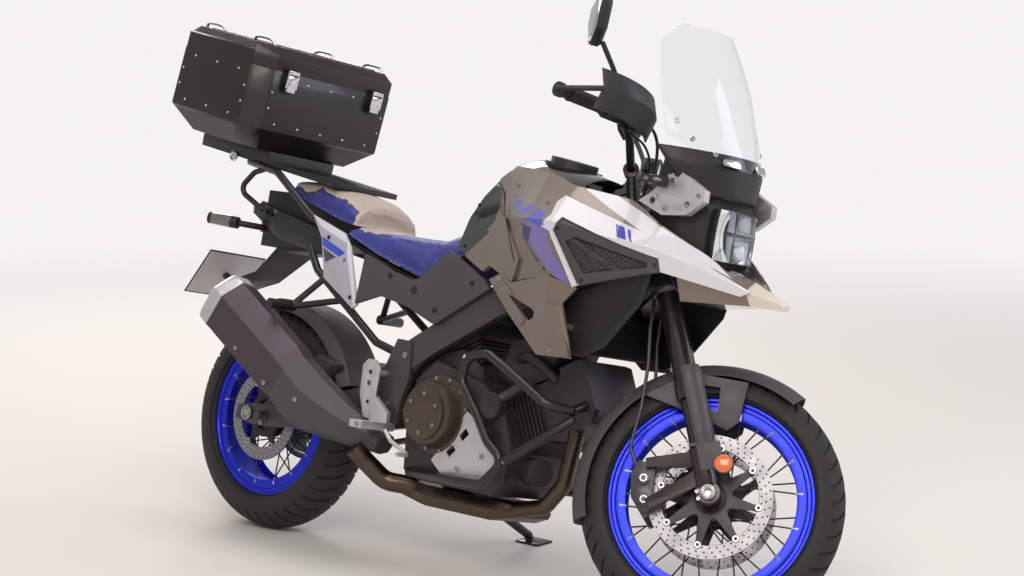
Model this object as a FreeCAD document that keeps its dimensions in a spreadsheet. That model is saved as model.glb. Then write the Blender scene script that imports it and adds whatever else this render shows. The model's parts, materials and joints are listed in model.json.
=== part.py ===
"""Adventure motorcycle with wire wheels, a tall screen and a top case, parked on its side stand.

Every piece is drawn in the upright frame of the machine: X runs forward from the rear axle's
place on the floor, Y to the rider's left and Z up, in millimetres. Pieces of the fork are drawn
in the fork's own frame, from the front axle up along the legs. At the end each piece gets the
Placement of the parked machine: leaning on the stand, with the bars on their left stop.
"""

import FreeCAD, Part
import math
import os

import Sketcher

V = FreeCAD.Vector
DOC = FreeCAD.newDocument("adventure_motorcycle")
SHEET = DOC.addObject("Spreadsheet::Sheet", "sizes")

# columns: alias, value in mm or degrees, meaning
SIZES = (
    ("wheelbase", 1555, "rear axle to front axle"),
    ("rake", 25.5, "steering axis from the vertical, degrees"),
    ("trail", 109, "floor contact behind the steering axis"),
    ("lean", 13, "lean on the side stand, degrees"),
    ("lock", 33, "steering lock each way, degrees"),
    ("front_tyre_radius", 329, "110/80 on 19 inch"),
    ("front_tyre_half", 55, "half the front tyre's width, also its crown radius"),
    ("front_rim_radius", 256, "front rim at its flange"),
    ("front_rim_half", 37, "half the front rim's width"),
    ("rear_tyre_radius", 321, "150/70 on 17 inch"),
    ("rear_tyre_half", 75, "half the rear tyre's width, also its crown radius"),
    ("rear_rim_radius", 230, "rear rim at its flange"),
    ("rear_rim_half", 57, "half the rear rim's width"),
    ("rim_skirt", 44, "depth of the rim's side skirt, where the spokes end"),
    ("tyre_wall", 9, "tyre thickness"),
    ("spoke_diameter", 4, "spoke"),
    ("spokes_a_side", 16, "spokes on each side of a wheel"),
    ("axle_radius", 12, "both axles"),
    ("axle_play", 0.05, "radial clearance of an axle in its hub"),
    ("run_gap", 5, "clearance of turning pieces"),
    ("seat_gap", 0.3, "clearance of seated pieces"),
    ("front_disc_radius", 155, "front brake disc"),
    ("front_disc_y", 71, "middle of a front disc from the middle plane"),
    ("rear_disc_radius", 130, "rear brake disc"),
    ("rear_disc_y", 76, "middle of the rear disc from the middle plane"),
    ("disc_thickness", 5, "brake discs"),
    ("disc_band", 34, "swept band of the front discs"),
    ("fork_half", 107, "middle of a fork leg from the middle plane"),
    ("fork_outer_radius", 27, "upper fork tube"),
    ("fork_inner_radius", 21.5, "lower fork tube"),
    ("clamp_low", 538, "lower clamp, along the fork from the axle"),
    ("clamp_high", 742, "upper clamp, along the fork from the axle"),
    ("bar_radius", 11, "handlebar tube"),
    ("fender_gap", 16, "front fender above the tyre"),
    ("fender_wall", 4, "fender thickness"),
    ("sprocket_radius", 108, "pitch radius of the rear sprocket"),
    ("front_sprocket_radius", 43, "pitch radius of the front sprocket"),
    ("chain_y", 97, "middle of the chain from the middle plane"),
    ("chain_width", 19, "chain over its pins"),
    ("chain_height", 15, "side plates of the chain"),
    ("swingarm_pivot_x", 560, "swingarm pivot"),
    ("swingarm_pivot_z", 420, "swingarm pivot"),
    ("arm_inner", 112, "inner face of each swingarm leg from the middle plane"),
    ("arm_width", 30, "width of each swingarm leg"),
    ("frame_half", 150, "outer face of the frame spars from the middle plane"),
    ("spar_width", 26, "thickness of a frame spar"),
    ("engine_half", 140, "half the crankcase's width"),
    ("engine_bottom", 238, "underside of the crankcase"),
    ("clutch_radius", 92, "clutch cover"),
    ("clutch_x", 745, "clutch cover's centre"),
    ("clutch_z", 420, "clutch cover's centre"),
    ("header_radius", 21, "exhaust header pipe"),
    ("muffler_length", 388, "muffler body"),
    ("muffler_height", 184, "muffler body"),
    ("muffler_width", 128, "muffler body"),
    ("muffler_rise", 29.5, "muffler's slope up to the rear, degrees"),
    ("guard_bar_radius", 12.5, "crash bar tube"),
    ("guard_bar_y", 232, "crash bar's side from the middle plane"),
    ("panel_wall", 4, "body panel thickness"),
    ("seat_half", 150, "half the rider seat's width at its foot"),
    ("screen_wall", 4, "windscreen thickness"),
    ("case_width", 556, "top case across the machine"),
    ("case_length", 396, "top case along the machine"),
    ("case_body_height", 232, "top case below its lid"),
    ("case_lid_height", 66, "lid of the top case"),
    ("case_corner", 50, "cut-off corner of the top case"),
    ("case_wall", 4, "wall of the top case"),
    ("case_tilt", 8, "top case's nose-down pitch, degrees"),
    ("case_x", -247, "middle of the top case"),
    ("case_z", 1091, "underside of the top case"),
    ("rail_radius", 11, "rear rail and rack tubes"),
    ("stand_pivot_x", 618, "side stand pivot"),
    ("stand_pivot_y", 132, "side stand pivot"),
    ("stand_pivot_z", 226, "side stand pivot"),
    ("stand_reach_x", 56, "stand foot ahead of its pivot"),
    ("stand_reach_y", 244, "stand foot outside its pivot"),
    ("stand_leg_radius", 12, "side stand leg"),
    ("spool_radius", 12, "spigot that a paddock stand's fork takes"),
    ("spool_length", 22, "free length of that spigot"),
    ("spool_x", 70, "the spigots ahead of the rear axle"),
    ("spool_z", 322, "height of the spigots"),
    ("peg_radius", 8, "peg that a pannier's hook takes"),
    ("peg_length", 16, "free length of that peg"),
    ("peg_x", -60, "the pannier pegs ahead of the rear axle"),
    ("peg_z", 895, "height of the pannier pegs"),
    ("peg_base_y", 132, "where a pannier peg leaves its lug"),
    ("hinge_back", 8, "lid hinge behind the case's rear wall"),
    ("hinge_knuckle", 6, "radius of the lid hinge's knuckles"),
    ("hinge_pin", 3, "radius of the lid hinge's pins"),
    ("pin_clearance", 0.15, "radial clearance on a hinge pin"),
    ("hose_radius", 4.5, "brake hoses"),
)


SPOOL_BASE = 8  # thickness of the boss under each spigot


def write_sheet():
    """Puts the driving sizes in the sheet, one row each."""
    for row, (alias, value, meaning) in enumerate(SIZES, start=1):
        SHEET.set(f"A{row}", alias)
        SHEET.set(f"B{row}", str(value))
        SHEET.set(f"C{row}", meaning)
        SHEET.setAlias(f"B{row}", alias)
    DOC.recompute()


def size(alias):
    """The sheet's value of an alias."""
    return float(SHEET.get(alias))


write_sheet()

RAKE = math.radians(size("rake"))
WHEELBASE = size("wheelbase")
FRONT_AXLE = V(WHEELBASE, 0, size("front_tyre_radius"))
REAR_AXLE = V(0, 0, size("rear_tyre_radius"))
STEER_FOOT = V(WHEELBASE + size("trail"), 0, 0)
STEER_AXIS = V(-math.sin(RAKE), 0, math.cos(RAKE))
FORK_OFFSET = size("front_tyre_radius") * math.sin(RAKE) - size("trail") * math.cos(RAKE)
FORK_FRAME = FreeCAD.Placement(FRONT_AXLE, FreeCAD.Rotation(V(0, 1, 0), -size("rake")))
PIECES = []  # every sub-part: node name, document object, body


def keep(obj, node, body, local=None):
    """Names a sub-part's object and notes the body that it moves with."""
    obj.Label = node
    PIECES.append((node, obj, body, local or FreeCAD.Placement()))
    return obj


def feature(node, shape, body, local=None):
    """A sub-part whose shape comes from Part's own functions."""
    obj = DOC.addObject("Part::Feature", node)
    obj.Shape = shape
    return keep(obj, node, body, local)


# shapes

def polygon(points):
    """Closed wire through points."""
    return Part.makePolygon(list(points) + [points[0]])


def prism(points, direction):
    """Solid swept from a flat outline along a vector."""
    return Part.Face(polygon(points)).extrude(direction)


def side_plate(outline, y_low, y_high):
    """Plate with an (x, z) outline between two lateral places."""
    return prism([V(x, y_low, z) for x, z in outline], V(0, y_high - y_low, 0))


def rod(start, end, radius):
    """Round bar between two points."""
    axis = end - start
    return Part.makeCylinder(radius, axis.Length, start, axis)


def path_wire(points, bend):
    """Straight runs joined by tangent arcs of the given radius, or less where a run is short."""
    edges = []
    last = points[0]
    for before, corner, after in zip(points, points[1:], points[2:]):
        back = before - corner
        ahead = after - corner
        turn = math.pi - back.getAngle(ahead)
        room = 0.45 * min(back.Length, ahead.Length)
        cut = min(bend * math.tan(turn / 2), room)
        back.normalize()
        ahead.normalize()
        start = corner + back * cut
        end = corner + ahead * cut
        radius = cut / math.tan(turn / 2)
        middle_way = (back + ahead).normalize()
        middle = corner + middle_way * (radius / math.cos(turn / 2) - radius)
        edges.append(Part.LineSegment(last, start).toShape())
        edges.append(Part.Arc(start, middle, end).toShape())
        last = end
    edges.append(Part.LineSegment(last, points[-1]).toShape())
    return Part.Wire(edges)


def tube(points, radius, bend):
    """Round tube, drawn solid, along a bent path."""
    if len(points) == 2:
        return rod(points[0], points[1], radius)
    wire = path_wire(points, bend)
    ring = Part.Wire(Part.makeCircle(radius, points[0], points[1] - points[0]))
    swept = wire.makePipeShell([ring], True, False)
    return swept if swept.isValid() else wire.makePipeShell([ring], True, True)


def mirrored(shape):
    """The same shape on the other side of the machine."""
    return shape.mirror(V(0, 0, 0), V(0, 1, 0))


def both_sides(shape):
    """A right-hand shape and its left-hand twin, as separate solids."""
    return Part.makeCompound([shape, mirrored(shape)])


def merged(shape):
    """The shape with the faces that lie in one surface made one, where that leaves it sound."""
    simple = shape.copy().removeSplitter()
    return simple if simple.isValid() and simple.Solids else shape


def fused(shapes):
    """One shape from several that touch."""
    first, *rest = shapes
    return merged(first.fuse(rest)) if rest else first


def seated(shape, *carriers):
    """The shape without the room that its carriers take up, so that it lies face to face on them."""
    touching = [carrier for carrier in carriers if near(shape, carrier)]
    return merged(shape.cut(touching)) if touching else shape


def near(shape, other):
    """True where the boxes of two shapes meet."""
    return shape.BoundBox.intersect(other.BoundBox)


def piece(node):
    """Shape of a node that is already made, in the upright machine."""
    obj, local = next((o, at) for name, o, _, at in PIECES if name == node)
    return obj.Shape.transformed(local.toMatrix()) if local else obj.Shape


def boss(panel, x, z, reach, radius, *carriers):
    """Boss from the inside of a right-hand panel at (x, z) to the carrier behind it."""
    line = Part.makeLine(V(x, -400, z), V(x, 0, z))
    on_panel = panel.distToShape(line)[1][0][0]
    pin = rod(V(x, on_panel.y + 1, z), V(x, -reach, z), radius)
    outer = seated(pin, *carriers)
    return min(outer.Solids, key=lambda solid: solid.BoundBox.YMin)


def loft(wires, ruled=False):
    """Closed loft through flat sections."""
    return Part.makeLoft(wires, True, ruled)


def bow(low_right, top, low_left, floor_left=None, floor_right=None):
    """Closed section: an arc over the top and straight lines round the foot."""
    arc = Part.Arc(low_right, top, low_left).toShape()
    foot = [low_left, floor_left, floor_right, low_right] if floor_left else [low_left, low_right]
    lines = [Part.LineSegment(a, b).toShape() for a, b in zip(foot, foot[1:])]
    return Part.Wire([arc] + lines)


def rounded(shape, radius, pick):
    """Fillet on the edges that pick() chooses, left sharp where the kernel refuses them all."""
    edges = [edge for edge in shape.Edges if pick(edge)]
    return shape.makeFillet(radius, edges) if edges else shape


def along_y(edge):
    """True for a straight edge that runs across the machine."""
    if not isinstance(edge.Curve, (Part.Line, Part.LineSegment)):
        return False
    way = edge.Vertexes[-1].Point - edge.Vertexes[0].Point
    return abs(way.y) > 0.99 * way.Length


# sketches bound to the sheet

def cell(alias, factor=1.0, offset=0.0):
    """A sketch coordinate worked out from a cell, with the expression that binds it."""
    return size(alias) * factor + offset, f"sizes.{alias} * {factor} + {offset}"


def number(coordinate):
    """The value of a plain or bound coordinate."""
    return coordinate[0] if isinstance(coordinate, tuple) else float(coordinate)


def profile_body(name, plane, corners, bulges=None):
    """PartDesign body with one closed sketch. Corners are (h, v) and may be bound to cells.
    bulges maps the number of a side to the (h, v) that its arc passes through."""
    body = DOC.addObject("PartDesign::Body", name)
    sketch = body.newObject("Sketcher::SketchObject", name + "_profile")
    support = next(o for o in body.Origin.OriginFeatures if o.Role == plane)
    sketch.AttachmentSupport = [(support, "")]
    sketch.MapMode = "FlatFace"
    points = [V(number(h), number(v), 0) for h, v in corners]
    bulges = bulges or {}
    count = len(points)
    ends = []  # per side: geometry, its start position, its end position
    for side in range(count):
        start, end = points[side], points[(side + 1) % count]
        if side in bulges:
            through = V(number(bulges[side][0]), number(bulges[side][1]), 0)
            index = sketch.addGeometry(Part.ArcOfCircle(start, through, end), False)
            placed = sketch.getPoint(index, 1)
            flips = (placed - start).Length > 1e-6
            ends.append((index, 2, 1) if flips else (index, 1, 2))
        else:
            index = sketch.addGeometry(Part.LineSegment(start, end), False)
            ends.append((index, 1, 2))
    for side in range(count):
        index, _, end = ends[side]
        after, start, _ = ends[(side + 1) % count]
        sketch.addConstraint(Sketcher.Constraint("Coincident", index, end, after, start))
    for side, (h, v) in enumerate(corners):
        index, start, _ = ends[side]
        for kind, coordinate in (("DistanceX", h), ("DistanceY", v)):
            made = sketch.addConstraint(
                Sketcher.Constraint(kind, -1, 1, index, start, number(coordinate))
            )
            if isinstance(coordinate, tuple):
                sketch.setExpression(f"Constraints[{made}]", coordinate[1])
    return body, sketch


def turned_body(name, corners, bulges=None):
    """PartDesign revolution about the wheel's axle: corners are (y, radius)."""
    body, sketch = profile_body(name, "YZ_Plane", corners, bulges)
    turn = body.newObject("PartDesign::Revolution", name + "_turn")
    turn.Profile = sketch
    turn.ReferenceAxis = (sketch, ["H_Axis"])
    turn.Angle = 360
    body.Tip = turn
    return body


def plate_body(name, outline, thickness, holes=()):
    """PartDesign plate: a pad of an (x, z) outline away to -Y, with round holes (x, z, radius)."""
    body, sketch = profile_body(name, "XZ_Plane", outline)
    pad = body.newObject("PartDesign::Pad", name + "_pad")
    pad.Profile = sketch
    pad.Length = number(thickness)
    if isinstance(thickness, tuple):
        pad.setExpression("Length", thickness[1])
    body.Tip = pad
    if holes:
        DOC.recompute()
        rings = body.newObject("Sketcher::SketchObject", name + "_holes")
        support = next(o for o in body.Origin.OriginFeatures if o.Role == "XZ_Plane")
        rings.AttachmentSupport = [(support, "")]
        rings.MapMode = "FlatFace"
        for x, z, radius in holes:
            rings.addGeometry(Part.Circle(V(x, z, 0), V(0, 0, 1), radius), False)
        pocket = body.newObject("PartDesign::Pocket", name + "_pocket")
        pocket.Profile = rings
        pocket.Type = "ThroughAll"
        pocket.Midplane = True
        body.Tip = pocket
    return body


# wheels

def tyre(node, body_name, prefix, local):
    """Hollow tyre, open to the rim: a half-round crown on two straight side walls."""
    crown = size(f"{prefix}_tyre_half")
    wall = size("tyre_wall")
    radius = size(f"{prefix}_tyre_radius")
    half = size(f"{prefix}_rim_half") - 5
    inner = crown - wall
    flange = size(f"{prefix}_rim_radius")
    corners = (
        (-half, flange - 14), (-half - 0.5, flange + 1), (-half - 8, flange + 2.5),
        (-crown, radius - crown), (crown, radius - crown), (half + 8, flange + 2.5),
        (half + 0.5, flange + 1), (half, flange - 14), (half - wall, flange - 14),
        (half - wall, flange + 2), (inner, radius - crown), (-inner, radius - crown),
        (wall - half, flange + 2), (wall - half, flange - 14),
    )
    bulges = {3: (0, cell(f"{prefix}_tyre_radius")), 10: (0, cell(f"{prefix}_tyre_radius", 1, -wall))}
    return keep(turned_body(node, corners, bulges), node, body_name, local)


def rim(node, body_name, prefix, local):
    """Tubeless rim: flange, bead seat, well, and a deep skirt at each side for the spokes."""
    flange = f"{prefix}_rim_radius"
    half = f"{prefix}_rim_half"
    skirt = size("rim_skirt")
    # columns: inset from the rim's side, depth below the flange; from the flange inwards
    outer = ((0, 0), (4, 0), (4.5, 13), (22, 15), (26, 27))
    side = ((0, 0), (0, 7), (3.5, 10), (3.5, 18), (1, 21), (1, skirt), (6, skirt + 1), (7, 30), (26, 33))
    up = [(cell(half, 1, -inset), cell(flange, 1, -depth)) for inset, depth in outer]
    down = [(cell(half, 1, -inset), cell(flange, 1, -depth)) for inset, depth in side]
    up_left = [(cell(half, -1, inset), cell(flange, 1, -depth)) for inset, depth in outer]
    down_left = [(cell(half, -1, inset), cell(flange, 1, -depth)) for inset, depth in side]
    corners = up_left[1:] + up[::-1] + down[1:] + down_left[::-1]
    return keep(turned_body(node, corners), node, body_name, local)


def spoked_hub(node, body_name, prefix, barrel, flange_radius, flange_y, local):
    """Hub barrel with two spoke flanges and the laced spokes. barrel is a (y, radius) profile."""
    bore = size("axle_radius") + size("axle_play")
    profile = [V(0, y, r) for y, r in barrel] + [V(0, barrel[-1][0], bore), V(0, barrel[0][0], bore)]
    hub = Part.Face(polygon(profile)).revolve(V(0, 0, 0), V(0, 1, 0), 360)
    count = int(size("spokes_a_side"))
    rim_radius = size(f"{prefix}_rim_radius") - size("rim_skirt") + 11
    rim_y = size(f"{prefix}_rim_half") - 4
    lace = math.radians(52)
    spokes = []
    for side in (-1, 1):
        for index in range(count):
            at_rim = 2 * math.pi * (index + 0.25 * side) / count
            at_hub = at_rim + lace * (1 if index % 2 else -1)
            inner = flange_y - (4 if index % 2 else 0)
            start = V(flange_radius * math.cos(at_hub), side * inner, flange_radius * math.sin(at_hub))
            end = V(rim_radius * math.cos(at_rim), side * rim_y, rim_radius * math.sin(at_rim))
            spokes.append(rod(start, end, size("spoke_diameter") / 2))
    return feature(node, hub.fuse(spokes), body_name, local)


def disc_with_carrier(radius, band, middle_y, arms, hub_radius, side):
    """Brake disc ring on an armed carrier. side is -1 for right, 1 for left."""
    half = size("disc_thickness") / 2
    across = V(0, 1, 0)

    def ring(outer, inner, low, high):
        base = V(0, low, 0)
        return Part.makeCylinder(outer, high - low, base, across).cut(
            Part.makeCylinder(inner, high - low, base, across)
        )

    disc = ring(radius, radius - band, middle_y - half, middle_y + half)
    inward = middle_y - side * (half + 3)
    low, high = sorted((inward - 3, inward + 3))
    carrier = [ring(hub_radius + 20, hub_radius, low, high)]
    for index in range(arms):
        angle = 360 / arms * index
        arm = prism(
            [V(hub_radius + 10, low, -17), V(radius - band - 12, low, -8), V(radius - band + 8, low, -9),
             V(radius - band + 8, low, 9), V(radius - band - 12, low, 8), V(hub_radius + 10, low, 17)],
            V(0, high - low, 0),
        )
        button = Part.makeCylinder(9, 15, V(radius - band + 2, min(low, middle_y - half) - 1, 0), across)
        for piece in (arm, button):
            piece.rotate(V(0, 0, 0), across, angle)
            carrier.append(piece)
    return disc.fuse(carrier)


def build_wheels():
    """Both wheels, their tyres, rims, laced hubs and discs, in frames at their axles."""
    front = FreeCAD.Placement(FRONT_AXLE, FreeCAD.Rotation())
    rear = FreeCAD.Placement(REAR_AXLE, FreeCAD.Rotation())
    tyre("front_tyre", "front_wheel", "front", front)
    rim("front_rim", "front_wheel", "front", front)
    disc_y = size("front_disc_y")
    inner_y = disc_y - size("disc_thickness") / 2 - 6
    barrel = ((-inner_y, 44), (-inner_y + 8, 44), (-inner_y + 12, 33), (-42, 33), (-42, 52), (-30, 52),
              (-26, 30), (26, 30), (30, 52), (42, 52), (42, 33), (inner_y - 12, 33), (inner_y - 8, 44),
              (inner_y, 44))
    spoked_hub("front_hub", "front_wheel", "front", barrel, 47, 38, front)
    discs = [
        disc_with_carrier(size("front_disc_radius"), size("disc_band"), side * disc_y, 8, 36, side)
        for side in (-1, 1)
    ]
    feature("front_discs", Part.makeCompound(discs), "front_wheel", front)
    tyre("rear_tyre", "rear_wheel", "rear", rear)
    rim("rear_rim", "rear_wheel", "rear", rear)
    disc_y = size("rear_disc_y")
    inner_y = disc_y - size("disc_thickness") / 2 - 6
    outer_y = size("chain_y") - 5
    barrel = ((-inner_y, 52), (-inner_y + 8, 52), (-inner_y + 12, 42), (-52, 42), (-52, 64), (-40, 64),
              (-36, 40), (36, 40), (40, 64), (52, 64), (52, 58), (outer_y, 58))
    spoked_hub("rear_hub", "rear_wheel", "rear", barrel, 58, 48, rear)
    disc = disc_with_carrier(size("rear_disc_radius"), 36, -disc_y, 6, 44, -1)
    feature("rear_disc", disc, "rear_wheel", rear)
    build_sprocket(rear)


def build_sprocket(local):
    """Rear sprocket: a toothed plate with round windows, bolted to the hub's left face."""
    tooth_tip = size("sprocket_radius") - size("chain_height") / 2 - 2
    teeth = 42
    low = size("chain_y") - 5
    outline = []
    for index in range(teeth * 2):
        radius = tooth_tip if index % 2 else tooth_tip - 5
        angle = math.pi * index / teeth
        outline.append(V(radius * math.cos(angle), low, radius * math.sin(angle)))
    plate = prism(outline, V(0, 7, 0))
    holes = [Part.makeCylinder(size("axle_radius") + 14, 40, V(0, low - 10, 0), V(0, 1, 0))]
    for index in range(5):
        angle = 2 * math.pi * index / 5
        holes.append(Part.makeCylinder(13, 40, V(74 * math.cos(angle), low - 10, 74 * math.sin(angle)),
                                       V(0, 1, 0)))
    feature("rear_sprocket", plate.cut(holes), "rear_wheel", local)


# fork and bars: drawn in the fork's frame, from the axle up along the legs

def build_fork():
    """Axle, legs, guards, clamps, stem and front brake calipers."""
    half = size("fork_half")
    outer = size("fork_outer_radius")
    inner = size("fork_inner_radius")
    low, high = size("clamp_low"), size("clamp_high")
    axle_r = size("axle_radius")
    reach = half + 26
    lug_out, lug_in = half + 14, half - 27
    hub_end = size("front_disc_y") - size("disc_thickness") / 2 - 6
    axle = Part.makeCylinder(axle_r, 2 * reach, V(0, -reach, 0), V(0, 1, 0))
    nuts = [
        Part.makeCylinder(19, reach - lug_out, V(0, y, 0), V(0, 1, 0)).cut(
            Part.makeCylinder(9, 8, V(0, deep, 0), V(0, 1, 0)))
        for y, deep in ((-reach, -reach), (lug_out, reach - 8))
    ]
    axle = axle.cut([Part.makeCylinder(9, 8, V(0, y, 0), V(0, 1, 0)) for y in (-reach, reach - 8)])
    spacers = [Part.makeCylinder(19, lug_in - hub_end - 0.5, V(0, y, 0), V(0, 1, 0))
               for y in (-lug_in, hub_end + 0.5)]
    feature("front_axle", fused([axle] + nuts + spacers), "steering", FORK_FRAME)

    leg = Part.makeCylinder(outer, high + 24 - 250, V(0, -half, 250), V(0, 0, 1))
    collar = Part.makeCylinder(outer + 3, 40, V(0, -half, 244), V(0, 0, 1))
    cap = Part.makeCylinder(outer - 5, 8, V(0, -half, high + 24), V(0, 0, 1))
    feature("fork_upper_tubes", both_sides(fused([leg, collar, cap])), "steering", FORK_FRAME)

    slider = Part.makeCylinder(inner, 244 - 60, V(0, -half, 60), V(0, 0, 1))
    shoe = Part.makeCylinder(outer, 96, V(0, -half, 20), V(0, 0, 1))
    lug = Part.makeCylinder(30, lug_out - lug_in, V(0, -lug_out, 0), V(0, 1, 0))
    arm = prism([V(-14, -half - 12, 24), V(-150, -half - 12, -8), V(-156, -half - 12, 18),
                 V(-16, -half - 12, 64)],
                V(0, 18, 0))
    upper_arm = prism([V(-12, -half - 12, 70), V(-136, -half - 12, 96), V(-132, -half - 12, 118),
                       V(-12, -half - 12, 110)],
                      V(0, 18, 0))
    body = fused([slider, shoe, lug, arm, upper_arm])
    caliper = build_calipers()
    body = body.cut([Part.makeCylinder(axle_r, 200, V(0, -half - 100, 0), V(0, 1, 0)), caliper])
    feature("fork_lowers", both_sides(body), "steering", FORK_FRAME)

    build_clamps(half, outer, low, high)
    build_brake_hoses(caliper, low, high)
    build_fork_guards(half, outer)


def build_calipers():
    """Radial calipers behind the legs, each a block with four pistons and a slot for its disc."""
    y = -size("front_disc_y")
    slot = size("disc_thickness") / 2 + size("run_gap")
    low_y = y - slot - 26
    blocks = []
    corners = ((-138, -8), (-172, -12), (-188, 34), (-176, 92), (-150, 120), (-112, 98), (-124, 66),
               (-137, 30))
    block = prism([V(x, low_y, z) for x, z in corners], V(0, 2 * slot + 44, 0))
    gap = Part.makeCylinder(size("front_disc_radius") + size("run_gap"), 2 * slot, V(0, y - slot, 0),
                            V(0, 1, 0))
    block = block.cut(gap)
    for x, z in ((-158, 20), (-148, 72)):
        blocks.append(Part.makeCylinder(16, 10, V(x, low_y - 6, z), V(0, 1, 0)))
    return block.fuse(blocks)


def build_brake_hoses(caliper, low, high):
    """Front calipers with their hoses, which run up inside the legs to the upper clamp."""
    route = [V(-160, -90, 104), V(-166, -92, 160), V(-120, -96, 250), V(-84, -92, 350), V(-60, -84, 450),
             V(-30, -72, low),
             V(-8, -70, low + 60), V(-8, -70, high - 50), V(-16, -68, high + 6)]
    clamps = piece("triple_clamps").transformed(FORK_FRAME.inverse().toMatrix())
    hose = tube(route, size("hose_radius"), 30)
    hose_parts = [solid for solid in hose.cut(clamps).Solids if solid.BoundBox.ZMax < high - 10]
    side = Part.makeCompound([caliper.fuse([part for part in hose_parts if part.BoundBox.ZMin < 200])]
                             + [part for part in hose_parts if part.BoundBox.ZMin >= 200])
    feature("front_calipers", both_sides(side), "steering", FORK_FRAME)


def build_clamps(half, outer, low, high):
    """Lower and upper clamps with the stem between them, and the bar's risers."""
    stem_x = -FORK_OFFSET
    parts = []
    for height, depth, width in ((low - 20, 42, 34), (high - 14, 26, 32)):
        outline = [V(width, -half - 24, height), V(width - 6, -half - 32, height), V(-24, -half - 30, height),
                   V(stem_x - 34, -34, height), V(stem_x - 34, 34, height), V(-24, half + 30, height),
                   V(width - 6, half + 32, height), V(width, half + 24, height), V(14, 40, height),
                   V(14, -40, height)]
        plate = prism(outline, V(0, 0, depth))
        for side in (-1, 1):
            plate = plate.cut(Part.makeCylinder(outer, 80, V(0, side * half, height - 20), V(0, 0, 1)))
        parts.append(plate)
    stem = Part.makeCylinder(15, high - low, V(stem_x, 0, low), V(0, 0, 1))
    nut = Part.makeCylinder(20, 14, V(stem_x, 0, high + 12), V(0, 0, 1))
    feature("triple_clamps", fused(parts + [stem, nut]), "steering", FORK_FRAME)


def build_fork_guards(half, outer):
    """Plastic guards in front of the sliders, with the side reflectors' brackets."""
    sections = []
    # columns: height on the fork, width outwards and inwards of the leg, reach forward
    for height, outward, inward, reach in ((112, 30, 24, 40), (150, 36, 26.5, 44), (290, 36, 26.5, 45),
                                           (322, 32, 26, 42)):
        right = V(-4, -half - outward, height)
        left = V(-4, -half + inward, height)
        front = V(reach, -half, height)
        wall = size("panel_wall")
        outer_arc = Part.Arc(right, front, left).toShape()
        inner_arc = Part.Arc(left + V(0, -wall, 0), front + V(-wall, 0, 0), right + V(0, wall, 0)).toShape()
        lines = [Part.LineSegment(left, left + V(0, -wall, 0)).toShape(),
                 Part.LineSegment(right + V(0, wall, 0), right).toShape()]
        sections.append(Part.Wire([outer_arc, lines[0], inner_arc, lines[1]]))
    guard = loft(sections, True)
    foot = Part.makeBox(26, 50, 8, V(-22, -half - 28, 118))
    stalk = Part.makeBox(58, 6, 66, V(-4, -half - 33, 52))
    lens = Part.makeCylinder(24, 9, V(52, -half - 38, 58), V(0, 1, 0))
    to_fork = FORK_FRAME.inverse().toMatrix()
    legs = [piece(node).transformed(to_fork) for node in ("fork_lowers", "fork_upper_tubes")]
    notch = Part.makeBox(40, 34, 48, V(-22, -half + 8, 200))
    bare = seated(fused([guard.cut(notch), foot, stalk, lens]), *legs)
    feature("fork_guards", both_sides(max(bare.Solids, key=lambda solid: solid.Volume)), "steering",
            FORK_FRAME)


def build_front_fender():
    """Front fender: an arched section turned about the axle, with a stay to each leg."""
    inner = size("front_tyre_radius") + size("fender_gap")
    wall = size("fender_wall")
    edge_y = size("front_tyre_half") + 10
    skirt = inner - 36
    section = Part.Wire([
        Part.Arc(V(0, -edge_y, skirt), V(0, 0, inner + wall), V(0, edge_y, skirt)).toShape(),
        Part.LineSegment(V(0, edge_y, skirt), V(0, edge_y - wall, skirt)).toShape(),
        Part.Arc(V(0, edge_y - wall, skirt), V(0, 0, inner), V(0, wall - edge_y, skirt)).toShape(),
        Part.LineSegment(V(0, wall - edge_y, skirt), V(0, -edge_y, skirt)).toShape(),
    ])
    face = Part.Face(section)
    start, end = 28, -112  # degrees forward and backward of straight up
    fender = face.revolve(V(0, 0, 0), V(0, 1, 0), start - end)
    fender.rotate(V(0, 0, 0), V(0, 1, 0), end)
    half = size("fork_half")
    outline = ((-10, 300), (-120, 296), (-222, 214), (-180, 208), (-70, 190), (0, 172), (24, 200), (24, 302))
    window = ((-40, 274), (-112, 268), (-150, 236), (-60, 218), (-34, 210))
    stay = side_plate(outline, -edge_y - 5, -edge_y + 1).cut(side_plate(window, -edge_y - 8, -edge_y + 4))
    local = FreeCAD.Placement(FRONT_AXLE, FreeCAD.Rotation())
    foot = Part.makeBox(28, half - edge_y, 36, V(-14, -half, 206))
    foot.rotate(V(0, 0, 0), V(0, 1, 0), -size("rake"))
    legs = piece("fork_lowers").transformed(local.inverse().toMatrix())
    side = fused([stay, foot])
    feature("front_fender", seated(fused([fender, side, mirrored(side)]), legs), "steering", local)


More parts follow.
